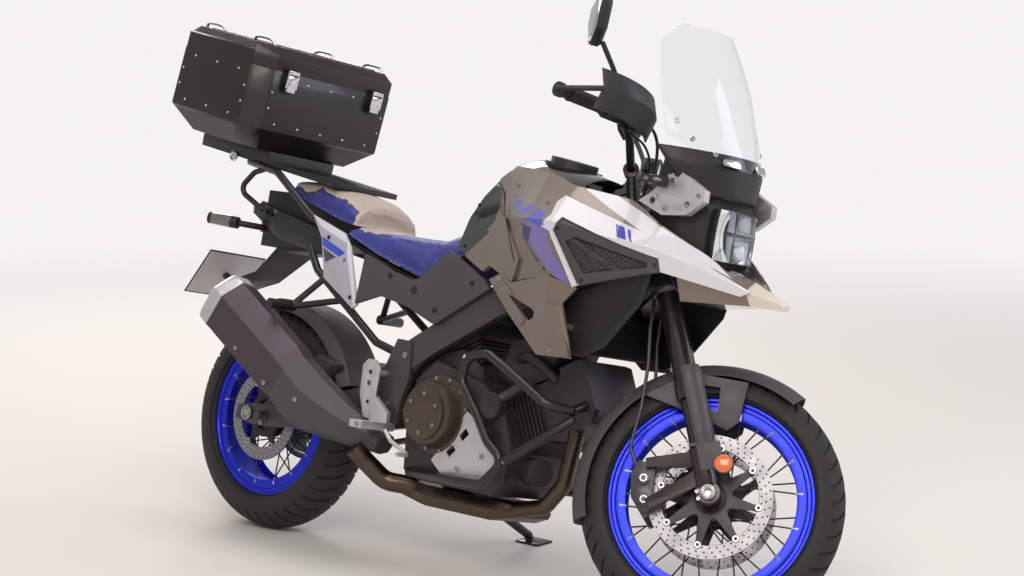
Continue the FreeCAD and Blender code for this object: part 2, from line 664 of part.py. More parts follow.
def build_bars():
    """Handlebar with its clamp, grips and housings, levers, hand guards and mirrors."""
    # columns: x, y, z of the right-hand half, from the clamp to the bar's end
    half_route = ((1150, -62, 1112), (1142, -150, 1168), (1128, -262, 1186), (1012, -424, 1160))
    right = [V(*p) for p in half_route]
    left = [V(x, -y, z) for x, y, z in half_route[::-1]]
    route = left + right
    upper = FORK_FRAME.multVec(V(-FORK_OFFSET, 0, size("clamp_high") + 12))
    risers = [rod(V(upper.x - 6, y, upper.z - 4), V(1150, y, 1112), 14) for y in (-44, 44)]
    caps = [Part.makeCylinder(21, 34, V(1150, y - 17, 1112), V(0, 1, 0)) for y in (-44, 44)]
    bar = tube(route, size("bar_radius"), 45)
    feature("handlebar", seated(fused([bar] + risers + caps), piece("triple_clamps")), "steering")

    sleeve = tube(route, size("bar_radius") + size("seat_gap"), 45)
    inner, end = V(*half_route[2]), V(*half_route[3])
    way = (end - inner).normalize()
    grip = rod(inner + way * 62, end - way * 12, 17)
    weight = fused([rod(end + way * size("seat_gap"), end + way * 26, 16),
                    rod(end + way * 12, end + way * 26, 19)])
    housing = rod(inner + way * 6, inner + way * 56, 26)
    pivot = inner + V(34, -14, -14)
    lever = tube([pivot, pivot + V(22, -30, -4), pivot + V(-30, -110, -22), pivot + V(-66, -158, -30)], 6, 14)
    tank = Part.makeCylinder(22, 34, V(1152, -186, 1190), V(0, 0, 1))
    neck = rod(V(1152, -186, 1196), V(1140, -222, 1182), 9)
    perch = rod(V(1144, -218, 1188), pivot, 11)
    hand = [seated(part, sleeve) for part in (grip, weight, housing, fused([lever, perch, neck, tank]))]
    feature("bar_controls", Part.makeCompound(hand + [mirrored(part) for part in hand]), "steering")
    build_hand_guards(end + way * (26 + 7 + size("seat_gap")), sleeve)
    build_mirrors(sleeve)


def build_hand_guards(outer_stay, sleeve):
    """Knuckle guards: bowed shells ahead of the grips, on stays from the bar and from its end."""
    wall = size("panel_wall")
    shells = []
    for height, reach, depth in ((1126, 0, 0), (1185, 12, 6), (1232, -4, 2)):
        a = V(1208 + reach, -262, height)
        m = V(1196 + reach + depth, -350, height)
        b = V(1098 + reach, -446, height)
        inner = V(-wall, 0, 0)
        shells.append(Part.Wire([
            Part.Arc(a, m, b).toShape(), Part.LineSegment(b, b + inner).toShape(),
            Part.Arc(b + inner, m + inner, a + inner).toShape(), Part.LineSegment(a + inner, a).toShape(),
        ]))
    guard = loft(shells, True)
    stays = [rod(outer_stay, V(1109, -446, 1181), 7), rod(V(1138, -196, 1172), V(1202, -270, 1148), 7)]
    feature("hand_guards", both_sides(seated(fused([guard] + stays), sleeve, piece("bar_controls"))),
            "steering")


def build_mirrors(sleeve):
    """Mirrors: a dished housing on a bent stem from the bar's clamp."""
    outline = ((0, -62), (38, -46), (84, 22), (78, 64), (30, 70), (-66, 58), (-84, 30), (-60, -34))
    shell = prism([V(0, a, b) for a, b in outline], V(26, 0, 0))
    shell = shell.makeChamfer(9, [e for e in shell.Edges if e.BoundBox.XMin > 25.9])
    glass = prism([V(-2, a * 0.92, b * 0.92) for a, b in outline], V(2, 0, 0))
    heads = []
    for part in (shell, glass):
        part.rotate(V(0, 0, 0), V(0, 0, 1), 20)
        part.rotate(V(0, 0, 0), V(0, 1, 0), -6)
        part.translate(V(1020, -352, 1378))
        heads.append(part)
    stem = tube([V(1124, -250, 1186), V(1116, -262, 1240), V(1084, -300, 1290), V(1050, -338, 1336)], 6.5, 24)
    mirror = seated(fused([stem] + heads), sleeve)
    feature("mirrors", both_sides(mirror), "steering")


# frame, swingarm and engine

def station(x, y, z, width, height):
    """Upright rectangle across the machine's length, for a spar's section."""
    return polygon([V(x, y - width, z - height / 2), V(x, y, z - height / 2),
                    V(x, y, z + height / 2), V(x, y - width, z + height / 2)])


def build_frame():
    """Twin-spar frame with its steering head, and the swingarm's pivot plates."""
    half = size("frame_half")
    width = size("spar_width")
    # columns: x, outer face's distance from the middle plane, z, section height
    spar = ((1222, 38, 886, 104), (1080, 118, 866, 112), (900, half, 748, 96), (700, half + 6, 622, 88),
            (590, half, 552, 92))
    wires = [station(x, width - y, z, width, tall) for x, y, z, tall in spar]
    right = loft(wires, True)
    plate_in = size("arm_inner") + size("arm_width") + size("seat_gap")
    plate_out = plate_in + 16
    plate = side_plate(((560, 600), (612, 598), (624, 500), (604, 430), (604, 372), (528, 372), (500, 430),
                        (520, 500)),
                       -plate_out, -plate_in)
    link = Part.makeBox(44, plate_out - half + width, 70, V(566, -plate_out, 526))
    axle_rise = (FRONT_AXLE - STEER_FOOT).dot(STEER_AXIS)
    head_low = STEER_FOOT + STEER_AXIS * (axle_rise + size("clamp_low") + 23)
    head_high = STEER_FOOT + STEER_AXIS * (axle_rise + size("clamp_high") - 15)
    head = rod(head_low, head_high, 38)
    bore = rod(head_low - STEER_AXIS * 10, head_high + STEER_AXIS * 10, 15 + size("run_gap"))
    pivot_z = size("swingarm_pivot_z")
    pivot = Part.makeCylinder(15, 2 * plate_out, V(size("swingarm_pivot_x"), -plate_out, pivot_z), V(0, 1, 0))
    brace = Part.makeBox(44, 2 * half - 20, 40, V(566, 10 - half, 556))
    side = fused([right, plate, link])
    nose_stay = side_plate(((1210, 874), (1400, 890), (1400, 928), (1200, 928)), -25, 25)
    frame = fused([side, mirrored(side), pivot, brace, head, nose_stay]).cut(bore)
    feature("frame", frame, "chassis")


def build_subframe():
    """Seat rails and their struts, with the pegs that take panniers."""
    r = size("rail_radius")
    rail = tube([V(660, -110, 640), V(590, -106, 752), V(420, -106, 796), V(272, -106, 846),
                 V(-150, -100, 905)], r, 60)
    strut = tube([V(574, -142, 556), V(460, -138, 580), V(178, -130, 752), V(60, -104, 876)], r, 60)
    cross = [Part.makeCylinder(r - 2, 2 * 104, V(x, -104, z), V(0, 1, 0))
             for x, z in ((-132, 903), (350, 822))]
    peg_foot = V(size("peg_x"), -size("peg_base_y"), size("peg_z"))
    boss_lug = Part.makeCylinder(13, 32, peg_foot, V(0, 1, 0))
    peg = Part.makeCylinder(size("peg_radius"), size("peg_length") + 4, peg_foot + V(0, 4, 0), V(0, -1, 0))
    plate = side_plate(((-138, 891), (-104, 926), (-64, 912), (150, 866), (200, 830), (200, 800), (114, 806),
                        (-15, 825)),
                       -122, -108)
    toe_start = V(150, -172, 640)
    toe = rod(toe_start, V(146, -262, 640), 14)
    hangers = [rod(V(x, -134, z), toe_start - V(0, 10, 0), 9) for x, z in ((214, 730), (300, 678))]
    side = fused([rail, strut, boss_lug, peg, plate, toe] + hangers)
    whole = fused([side, mirrored(side)] + cross)
    feature("subframe", seated(whole, piece("frame")), "chassis")


def build_swingarm():
    """Swingarm: two tapered box legs from the pivot to the axle plates, and a bridge ahead of the tyre."""
    inner = size("arm_inner")
    width = size("arm_width")
    x, z = size("swingarm_pivot_x"), size("swingarm_pivot_z")
    outline = ((x - 34, z - 28), (x - 34, z + 30), (430, 452), (120, 356), (20, 352), (-46, 340), (-52, 302),
               (20, 292), (110, 296), (420, 360))
    leg = side_plate(outline, -inner - width, -inner)
    leg = rounded(leg, 8, along_y)
    spool_foot = V(size("spool_x"), -inner - width, size("spool_z"))
    boss = Part.makeCylinder(17, SPOOL_BASE + 4, spool_foot + V(0, 4, 0), V(0, -1, 0))
    spool = Part.makeCylinder(size("spool_radius"), SPOOL_BASE + size("spool_length"), spool_foot,
                              V(0, -1, 0))
    axle_hole = Part.makeCylinder(size("axle_radius"), 3 * inner, V(0, -inner - 2 * width, REAR_AXLE.z),
                                  V(0, 1, 0))
    leg = fused([leg, boss, spool]).cut(axle_hole)
    bridge = Part.makeBox(70, 2 * inner + 10, 54, V(400, -inner - 5, 376))
    arm = fused([leg, mirrored(leg), bridge, rear_shock()])
    feature("swingarm", seated(arm, piece("frame")), "chassis")
    reach = inner + width + 9
    right_end = size("rear_disc_y") - size("disc_thickness") / 2 - 6 + 0.5
    left_end = size("chain_y") - 5 + 0.5
    axle = Part.makeCylinder(size("axle_radius"), 2 * reach, V(0, -reach, REAR_AXLE.z), V(0, 1, 0))
    # columns: radius, from, to
    collars = [
        Part.makeCylinder(radius, high - low, V(0, low, REAR_AXLE.z), V(0, 1, 0))
        for radius, low, high in ((20, -reach, 9 - reach), (20, reach - 9, reach), (18, -inner, -right_end),
                                  (18, left_end, inner))
    ]
    feature("rear_axle", fused([axle] + collars), "chassis")
    build_rear_caliper(inner)
    build_chain()


def rear_shock():
    """Shock absorber with its coil spring, from the swingarm's bridge up to the frame's brace."""
    low, high = V(446, 0, 412), V(560, 0, 588)
    span = high - low
    outline = [(0, 0), (19, 0), (19, 30), (34, 30), (34, 40)]
    for index in range(9):
        rise = 42 + 13 * index
        outline += [(23, rise), (31, rise + 2), (33, rise + 5), (31, rise + 8), (23, rise + 10)]
    outline += [(34, 162), (34, 172), (19, 172), (19, span.Length), (0, span.Length)]
    shock = Part.Face(polygon([V(r, 0, z) for r, z in outline])).revolve(V(0, 0, 0), V(0, 0, 1), 360)
    shock.Placement = FreeCAD.Placement(low, FreeCAD.Rotation(V(0, 0, 1), span))
    return shock


def build_rear_caliper(inner):
    """Rear caliper on its bracket, which hangs on the axle inside the right leg."""
    y = -size("rear_disc_y")
    slot = size("disc_thickness") / 2 + size("run_gap")
    block = side_plate(((84, 402), (92, 436), (146, 436), (172, 380), (140, 348), (114, 362)), y - slot - 24,
                       y + slot + 11)
    gap = Part.makeCylinder(size("rear_disc_radius") + size("run_gap"), 2 * slot, V(0, y - slot, REAR_AXLE.z),
                            V(0, 1, 0))
    bracket = side_plate(((-22, 340), (20, 350), (96, 410), (140, 372), (24, 300), (-22, 302)), -inner,
                         -inner + 9)
    hole = Part.makeCylinder(18, 60, V(0, -inner - 20, REAR_AXLE.z), V(0, 1, 0))
    shape = fused([block.cut(gap), bracket.cut(hole)])
    feature("rear_caliper", seated(shape, piece("swingarm")), "chassis")


def build_chain():
    """Drive chain as one closed loop round both sprockets, with the front sprocket inside it."""
    r_rear, r_front = size("sprocket_radius"), size("front_sprocket_radius")
    a, b = V(0, 0, REAR_AXLE.z), V(640, 0, 425)
    half = size("chain_height") / 2
    low_y = size("chain_y") - size("chain_width") / 2

    def loop(extra):
        span = b - a
        base = math.atan2(span.z, span.x)
        lean = math.acos((r_rear - r_front) / span.Length)
        points = []
        for centre, radius, mid in ((a, r_rear + extra, base + math.pi), (b, r_front + extra, base)):
            turn = math.pi - lean if centre is a else lean
            arc = [centre + V(radius * math.cos(mid + s * turn), 0,
                              radius * math.sin(mid + s * turn)) for s in (-1, 0, 1)]
            points.append(arc)
        rear, front = points
        edges = [Part.Arc(*rear).toShape(), Part.LineSegment(rear[2], front[0]).toShape(),
                 Part.Arc(*front).toShape(), Part.LineSegment(front[2], rear[0]).toShape()]
        wire = Part.Wire(edges)
        wire.translate(V(0, low_y, 0))
        return Part.Face(wire).extrude(V(0, size("chain_width"), 0))

    band = loop(half).cut(loop(-half))
    sprocket = Part.makeCylinder(r_front - half - size("seat_gap"), 8, V(b.x, size("chain_y") - 4, b.z),
                                 V(0, 1, 0))
    shaft = Part.makeCylinder(16, 30, V(b.x, size("chain_y") - 20, b.z), V(0, 1, 0))
    feature("chain", Part.makeCompound([band, fused([sprocket, shaft])]), "chassis")


def build_engine():
    """V-twin: crankcase, two finned cylinders with their heads, and the side covers."""
    half = size("engine_half")
    bottom = size("engine_bottom")
    case_outline = ((640, bottom + 20), (700, bottom), (960, bottom), (1000, bottom + 40), (1004, 380),
                    (960, 470),
                    (880, 520), (700, 560), (636, 500), (622, 400))
    case = side_plate(case_outline, -half, half)
    parts = [case]
    # columns: foot x, foot z, slope in degrees from the horizontal, length, half width
    for foot_x, foot_z, slope, length, wide in ((930, 410, 28, 310, 92), (770, 500, 118, 190, 92)):
        stack = [Part.makeBox(length, 2 * wide - 24, 150, V(0, 12 - wide, -75))]
        for index in range(7):
            stack.append(Part.makeBox(5, 2 * wide, 168, V(44 + 13 * index, -wide, -84)))
        head = ((length - 84, -86), (length - 26, -86), (length, -56), (length, 72), (length - 18, 86),
                (length - 84, 86))
        stack.append(side_plate(head, -wide - 4, wide + 4))
        cylinder = fused(stack)
        cylinder.rotate(V(0, 0, 0), V(0, 1, 0), -slope)
        cylinder.translate(V(foot_x, 0, foot_z))
        parts.append(cylinder)
    filter_can = rod(V(1000, -40, 315), V(1064, -74, 318), 36)
    well = Part.makeBox(190, 80, 170, V(540, size("chain_y") - 20, 345))
    pivot = V(size("stand_pivot_x"), size("stand_pivot_y"), size("stand_pivot_z"))
    axis = stand_axis()
    lug = fused([Part.makeCylinder(22, 10, pivot + axis * (14 + size("seat_gap")), axis),
                 rod(pivot + axis * 31, V(664, 108, 292), 12)])
    sump = Part.makeBox(60, 60, 40, V(640, 20, 226))
    gearbox_top = side_plate(((616, 520), (650, 566), (760, 600), (840, 560), (860, 500), (700, 470)),
                             30 - half, half - 30)
    inlet = side_plate(((872, 548), (900, 640), (1010, 672), (1072, 640), (1040, 560), (940, 520)), -78, 78)
    hoses = [tube([V(1070, side * 74, 560), V(1040, side * 96, 590), V(985, side * 98, 610),
                   V(930, side * 70, 600)], 15, 24)
             for side in (-1, 1)]
    water_pump = fused([Part.makeCylinder(34, 30, V(935, -half + 4, 470), V(0, -1, 0)),
                        rod(V(948, -half - 12, 484), V(1010, -half + 22, 540), 14)])
    whole = fused(parts + [filter_can, lug, sump, gearbox_top, inlet, water_pump] + hoses).cut(well)
    feature("engine", seated(whole, piece("frame"), piece("swingarm")), "chassis")
    x, z, r = size("clutch_x"), size("clutch_z"), size("clutch_radius")
    across = V(0, -1, 0)
    clutch = fused([
        Part.makeCylinder(r + 12, 22, V(x + 12, -half, z), across),
        Part.makeCone(r, r - 10, 38, V(x, -half - 20, z), across),
        Part.makeCylinder(r - 22, 8, V(x - 6, -half - 58, z - 2), across),
    ])
    alternator = fused([
        Part.makeCylinder(94, 22, V(840, half, 395), V(0, 1, 0)),
        Part.makeCone(86, 70, 34, V(840, half + 20, 395), V(0, 1, 0)),
        side_plate(((600, 380), (700, 350), (720, 470), (620, 480)), half - 6, half + 18),
    ])
    chain_cover = side_plate(((600, 366), (598, 470), (640, 512), (738, 512), (738, 352), (640, 346)),
                             size("chain_y") + 18, half - 8)
    covers = [seated(part, piece("engine"), piece("frame")) for part in (clutch, alternator, chain_cover)]
    covers = Part.makeCompound([max(part.Solids, key=lambda solid: solid.Volume) for part in covers])
    feature("engine_covers", covers, "chassis")
    front = tube([V(1140, -52, 500), V(1152, -60, 430), V(1142, -66, 300), V(1084, -60, 232),
                  V(960, -50, 205)],
                 size("header_radius"), 52)
    collector = loft([
        polygon([V(x, -w, lo), V(x, w, lo), V(x, w + 8, (lo + hi) / 2), V(x, w, hi), V(x, -w, hi),
                 V(x, -w - 8, (lo + hi) / 2)])
        for x, w, lo, hi in ((1000, 60, 192, 218), (930, 92, 172, 226), (700, 100, 172, 226),
                             (560, 74, 190, 236))
    ], True)
    link = tube([V(640, -70, 214), V(560, -120, 214), V(520, -170, 262), V(500, -200, 290)], 26, 60)
    feature("exhaust_pipes", seated(fused([front, collector, link]), piece("engine")), "chassis")


def build_muffler():
    """Muffler with its end cap and lower shield, sloping up along the rear wheel's right side."""
    rise = size("muffler_rise")
    length, tall, wide = size("muffler_length"), size("muffler_height"), size("muffler_width")
    frame = FreeCAD.Placement(V(245, -216, 434), FreeCAD.Rotation(V(0, 1, 0), rise - 180))

    def ring(s, scale_z, scale_y, dz=0, dy=0):
        """Six-sided section with one bowed face, at a distance along the muffler."""
        h, w = tall / 2 * scale_z, wide / 2 * scale_y
        pts = ((-0.62, -1), (0.42, -1), (1, -0.25), (0.92, 0.55), (0.2, 1), (-0.72, 0.92), (-1, 0.1))
        return polygon([V(s, dy + w * b, dz - h * a) for a, b in pts])

    body = loft([ring(0, 0.9, 0.94), ring(40, 1, 1), ring(length - 46, 1, 1)], True)
    body.Placement = frame
    feature("muffler", body, "chassis")
    cap = loft([ring(length - 45.7, 1.02, 1.02), ring(length - 6, 0.99, 0.98), ring(length + 14, 0.8, 0.78)],
               True)
    cap = cap.cut(Part.makeCylinder(26, 60, V(length - 30, 0, -10), V(1, 0, 0)))
    cap.Placement = frame
    feature("muffler_cap", cap, "chassis")
    shield = loft([ring(-0.3, 0.92, 1.0), ring(-90, 0.96, 1.02, 4), ring(-200, 0.66, 0.84, -16, 24),
                   ring(-330, 0.34, 0.5, -44, 78)], True)
    shield.Placement = frame
    shield = seated(shield, piece("exhaust_pipes"), piece("swingarm"))
    feature("muffler_shield", max(shield.Solids, key=lambda solid: solid.Volume), "chassis")


# body panels: outlines cut from one curved side form

# columns: x, then z and half width at the top edge, the widest line and the bottom edge
SIDE_FORM = (
    (700, (1090, 88), (930, 128), (700, 172)),
    (860, (1118, 104), (960, 168), (740, 186)),
    (1000, (1120, 132), (960, 214), (740, 206)),
    (1120, (1074, 168), (958, 242), (700, 214)),
    (1250, (1048, 160), (940, 230), (640, 200)),
    (1400, (1010, 138), (924, 192), (760, 176)),
    (1520, (944, 84), (888, 116), (790, 96)),
    (1620, (886, 36), (852, 50), (800, 40)),
    (1700, (850, 4), (838, 6), (806, 4)),
)


def side_form(outset, wall):
    """Curved slab on the right side, standing outset from SIDE_FORM and wall thick."""
    wires = []
    for x, *levels in SIDE_FORM:
        outer = [V(x, -half - outset, z) for z, half in levels]
        inner = [p + V(0, wall, 0) for p in reversed(outer)]
        top, low = outer[0] + V(0, 0, 60), outer[-1] - V(0, 0, 160)
        wires.append(polygon([top] + outer + [low, low + V(0, wall, 0)] + inner + [top + V(0, wall, 0)]))
    return loft(wires, True)


def side_panel(outline, outset, wall, holes=()):
    """Panel of the right side: the side form inside an (x, z) outline."""
    stamp = side_plate(outline, -320, 0)
    for hole in holes:
        stamp = stamp.cut(side_plate(hole, -330, 10))
    return side_form(outset, wall).common(stamp)


def build_body_panels():
    """Tank, side cowls, nose, shrouds and covers, split where the real panels meet."""
    wall = size("panel_wall")
    build_tank()
    tank = piece("fuel_tank")
    cowl = ((1093, 1010), (1112, 1030), (1250, 992), (1403, 950), (1514, 906), (1622, 852), (1600, 838),
            (1430, 868),
            (1424, 900), (1330, 920), (1140, 972), (1122, 936), (1214, 806), (1200, 800), (1108, 936))
    cowl_panel = side_panel(cowl, 6, wall + 2)
    insert = ((1141, 970), (1330, 919), (1423, 899), (1429, 868), (1216, 806), (1124, 936))
    window = ((1160, 912), (1192, 926), (1398, 884), (1396, 874), (1226, 838))
    louvre = ((1168, 916), (1186, 922), (1334, 858), (1312, 852))
    insert_panel = fused([side_panel(insert, 0, 14, [window]), side_panel(insert, -9, wall + 1),
                          side_panel(louvre, -2, 12)])
    upper = ((800, 1060), (850, 1100), (1010, 1090), (1110, 1060), (1290, 1040), (1510, 926), (1600, 868),
             (1513, 906),
             (1402, 950), (1250, 992), (1111, 1031), (1092, 1010), (1107, 936), (1199, 800), (1120, 826),
             (1062, 866))
    upper_panel = side_panel(upper, 2, wall + 2)
    knee = ((712, 868), (762, 842), (846, 810), (868, 828), (976, 792), (992, 856), (864, 992), (826, 1036),
            (790, 1044),
            (760, 1010), (730, 950))
    recess = ((786, 1040), (800, 1058), (830, 1050), (1068, 870), (1118, 824), (972, 796), (988, 850),
              (860, 986), (822, 1030))
    knee_panel = fused([side_panel(knee, 0, 14), side_panel(recess, -9, 8)])
    shroud = ((885, 791), (931, 812), (976, 790), (1118, 822), (1214, 800), (1172, 756), (1216, 622),
              (1110, 619), (972, 722))
    slot = ((976, 762), (1070, 732), (1080, 724), (1078, 710), (1066, 702), (1056, 704))
    ridge = ((1128, 752), (1160, 750), (1210, 640), (1211, 626), (1190, 624))
    brow = ((930, 800), (976, 778), (1052, 700), (1040, 686), (958, 752), (912, 788))
    shroud_panel = fused([side_panel(shroud, 4, wall + 2, [slot]), side_panel(ridge, 11, 12),
                          side_panel(brow, 8, 8, [slot])])
    upper_panel = fused([upper_panel, boss(upper_panel, 900, 1040, 60, 10, tank),
                         boss(upper_panel, 1060, 1000, 60, 10, tank)])
    knee_panel = fused([knee_panel, boss(knee_panel, 780, 940, 60, 10, tank),
                        boss(knee_panel, 940, 880, 60, 10, tank)])
    body = fused([upper_panel, knee_panel])
    feature("tank_covers", both_sides(body), "chassis")
    cowl_panel = seated(cowl_panel, piece("tank_covers"))
    feature("side_cowls", both_sides(cowl_panel), "chassis")
    feature("cowl_inserts", both_sides(seated(insert_panel, cowl_panel, body)), "chassis")
    build_nose()
    pin = boss(shroud_panel, 1170, 700, 120, 10, piece("radiator"))
    shroud_panel = seated(fused([shroud_panel, pin]), body, cowl_panel)
    feature("side_shrouds", both_sides(shroud_panel), "chassis")
    build_covers()


def build_nose():
    """Nose between the cowls: the beak and the housing round the headlight."""
    sections = []
    # columns: x, half width, top z at the middle, side z, bottom z
    for x, half, top, side, bottom in ((1440, 128, 900, 880, 806), (1520, 92, 902, 876, 812),
                                       (1600, 48, 878, 852, 818), (1700, 10, 838, 830, 818)):
        sections.append(polygon([V(x, -half, side), V(x, 0, top), V(x, half, side), V(x, half * 0.7, bottom),
                                 V(x, -half * 0.7, bottom)]))
    beak = seated(loft(sections, True), piece("side_cowls"), piece("tank_covers"))
    feature("beak", max(beak.Solids, key=lambda solid: solid.Volume), "chassis")
    housing = []
    for x, half, top, bottom in ((1300, 128, 1096, 880), (1420, 118, 1112, 884), (1490, 96, 1072, 905)):
        housing.append(polygon([V(x, -half, bottom + 16), V(x, -half, top - 30), V(x, -half + 34, top),
                                V(x, half - 34, top),
                                V(x, half, top - 30), V(x, half, bottom + 16), V(x, half - 20, bottom),
                                V(x, 20 - half, bottom)]))
    profile = side_plate(((1392, 870), (1340, 1010), (1330, 1120), (1500, 1120), (1500, 870)), -200, 200)
    dash = prism([V(1316, -96, 1104), V(1332, -96, 1192), V(1352, -96, 1188), V(1372, -96, 1090)],
                 V(0, 192, 0))
    shell = fused([loft(housing, True).common(profile).cut(piece("beak")), dash])
    shell = seated(shell, piece("frame"), piece("side_cowls"), piece("tank_covers"), piece("cowl_inserts"))
    feature("headlight_housing", shell, "chassis")
    lamp = loft([polygon([V(x, -w, lo), V(x, -w, hi), V(x, w, hi), V(x, w, lo)])
                 for x, w, lo, hi in ((1490.3, 84, 914, 1052), (1512, 80, 918, 1046))], True)
    feature("headlight", lamp, "chassis")
    core = side_plate(((1150, 642), (1174, 776), (1212, 772), (1190, 638)), -156, 156)
    back = V(-134, 0, 24).normalize()
    fans = [Part.makeCylinder(58, 26, V(1166, y, 709), back) for y in (-78, 78)]
    hose = tube([V(1168, -140, 752), V(1120, -132, 742), V(1076, -112, 690), V(1060, -96, 652)], 14, 26)
    feature("radiator", seated(fused([core, hose] + fans), piece("engine"), piece("frame")), "chassis")
    bracket_outline = ((1308, 1040), (1348, 1066), (1392, 1112), (1430, 1122), (1512, 1080), (1512, 1052),
                       (1464, 1016), (1388, 1010))
    bracket = plate_body("screen_brackets_right", bracket_outline, 22,
                         holes=((1352, 1044, 9), (1462, 1042, 9)))
    bracket.Placement = FreeCAD.Placement(V(0, -130, 0), FreeCAD.Rotation())
    DOC.recompute()
    pin = rod(V(1430, -131, 1060), V(1430, -90, 1060), 10)
    groove = side_plate(((1366, 1026), (1362, 1062), (1448, 1060), (1450, 1026)), -153, -146)
    holders = seated(both_sides(fused([bracket.Shape.cut(groove), pin])), piece("headlight_housing"),
                     piece("tank_covers"), piece("side_cowls"))
    feature("screen_brackets", holders, "chassis")
    build_screen()


def build_screen():
    """Tall windscreen, the dark surround under it, and the instrument panel behind."""
    wall = size("screen_wall")
    rows = []
    # columns: z, x at the middle, x at the edge, half width
    for z, middle, edge, half in ((1146, 1522, 1480, 92), (1214, 1490, 1392, 186), (1350, 1424, 1350, 190),
                                  (1446, 1372, 1314, 168), (1500, 1340, 1322, 104)):
        right, mid, left = V(edge, -half, z), V(middle, 0, z), V(edge, half, z)
        back = V(-wall, 0, 0)
        rows.append(Part.Wire([
            Part.Arc(right, mid, left).toShape(), Part.LineSegment(left, left + back).toShape(),
            Part.Arc(left + back, mid + back, right + back).toShape(),
            Part.LineSegment(right + back, right).toShape(),
        ]))
    feature("windscreen", loft(rows, True), "chassis")
    rows = []
    for z, middle, edge, half in ((1074, 1524, 1440, 128), (1146, 1516, 1404, 180), (1182, 1496, 1376, 192)):
        right, mid, left = V(edge, -half, z), V(middle, 0, z), V(edge, half, z)
        back = V(-8, 0, 0)
        rows.append(Part.Wire([
            Part.Arc(right, mid, left).toShape(), Part.LineSegment(left, left + back).toShape(),
            Part.Arc(left + back, mid + back, right + back).toShape(),
            Part.LineSegment(right + back, right).toShape(),
        ]))
    surround = seated(loft(rows, True), piece("windscreen"), piece("headlight_housing"),
                      piece("screen_brackets"))
    feature("screen_surround", surround, "chassis")


def build_tank():
    """Fuel tank: bowed sections along the machine, with the round filler cap."""
    sections = []
    # columns: x, half width at the foot, foot z, half width at the shoulder, shoulder z, top z
    for x, foot, foot_z, shoulder, shoulder_z, top in (
        (716, 80, 880, 70, 1000, 1050), (790, 116, 850, 92, 1052, 1114), (900, 150, 830, 118, 1068, 1132),
        (1010, 176, 824, 138, 1060, 1112), (1085, 176, 850, 132, 1040, 1094),
    ):
        sections.append(bow(V(x, -shoulder, shoulder_z), V(x, 0, top), V(x, shoulder, shoulder_z),
                            V(x, foot, foot_z), V(x, -foot, foot_z)))
    tank = seated(loft(sections), piece("frame"))
    feature("fuel_tank", tank, "chassis")
    cap = Part.makeCylinder(64, 30, V(946, 0, 1106), V(0.15, 0, 1))
    cap = fused([cap, Part.makeCylinder(78, 16, V(946, 0, 1104), V(0.15, 0, 1))])
    feature("filler_cap", seated(cap, tank), "chassis")


def build_covers():
    """Side covers under the seat and the tail's panels."""
    cover = ((397, 813), (509, 778), (588, 761), (615, 769), (709, 853), (730, 843), (846, 792), (872, 768),
             (694, 652), (580, 690), (475, 707), (386, 676))
    plate = side_plate(cover, -170, -156.3)
    pins = [boss(plate, x, z, 60, 9, piece("subframe")) for x, z in ((470, 740),)]
    cover_side = seated(fused([plate] + pins), piece("tank_covers"), piece("frame"), piece("subframe"))
    feature("side_covers", both_sides(cover_side), "chassis")
    tail = ((155, 904), (293, 862), (322, 826), (382, 672), (367, 660), (236, 733), (203, 842))
    panel = side_plate(tail, -158, -150.3)
    pin = boss(panel, 240, 850, 60, 9, piece("subframe"))
    feature("tail_panels", both_sides(seated(fused([panel, pin]), piece("subframe"))), "chassis")


def build_seats():
    """Rider and pillion seats, as plain closed forms for the padded pieces."""
    half = size("seat_half")
    sections = []
    # columns: x, half width at the foot, foot z, half width at the shoulder, shoulder z, top z
    for x, foot, foot_z, shoulder, shoulder_z, top in (
        (272, half - 8, 862, half - 22, 880, 892), (420, half, 812, half - 22, 862, 878),
        (590, half - 12, 768, 92, 866, 878),
        (670, 116, 824, 66, 910, 924), (714, 84, 868, 58, 950, 962),
    ):
        sections.append(bow(V(x, -shoulder, shoulder_z), V(x, 0, top), V(x, shoulder, shoulder_z),
                            V(x, foot, foot_z), V(x, -foot, foot_z)))
    carriers = [piece(node) for node in ("subframe", "fuel_tank", "tank_covers", "side_covers")]
    feature("rider_seat", seated(loft(sections, True), *carriers), "chassis")
    sections = []
    for x, foot, foot_z, shoulder, shoulder_z, top in (
        (-20, 104, 962, 92, 990, 1000), (120, 128, 926, 118, 984, 996), (230, 134, 896, 122, 956, 972),
        (300, 128, 884, 112, 918, 946),
    ):
        sections.append(bow(V(x, -shoulder, shoulder_z), V(x, 0, top), V(x, shoulder, shoulder_z),
                            V(x, foot, foot_z), V(x, -foot, foot_z)))
    feature("pillion_seat", seated(loft(sections, True), piece("rider_seat"), piece("subframe")), "chassis")


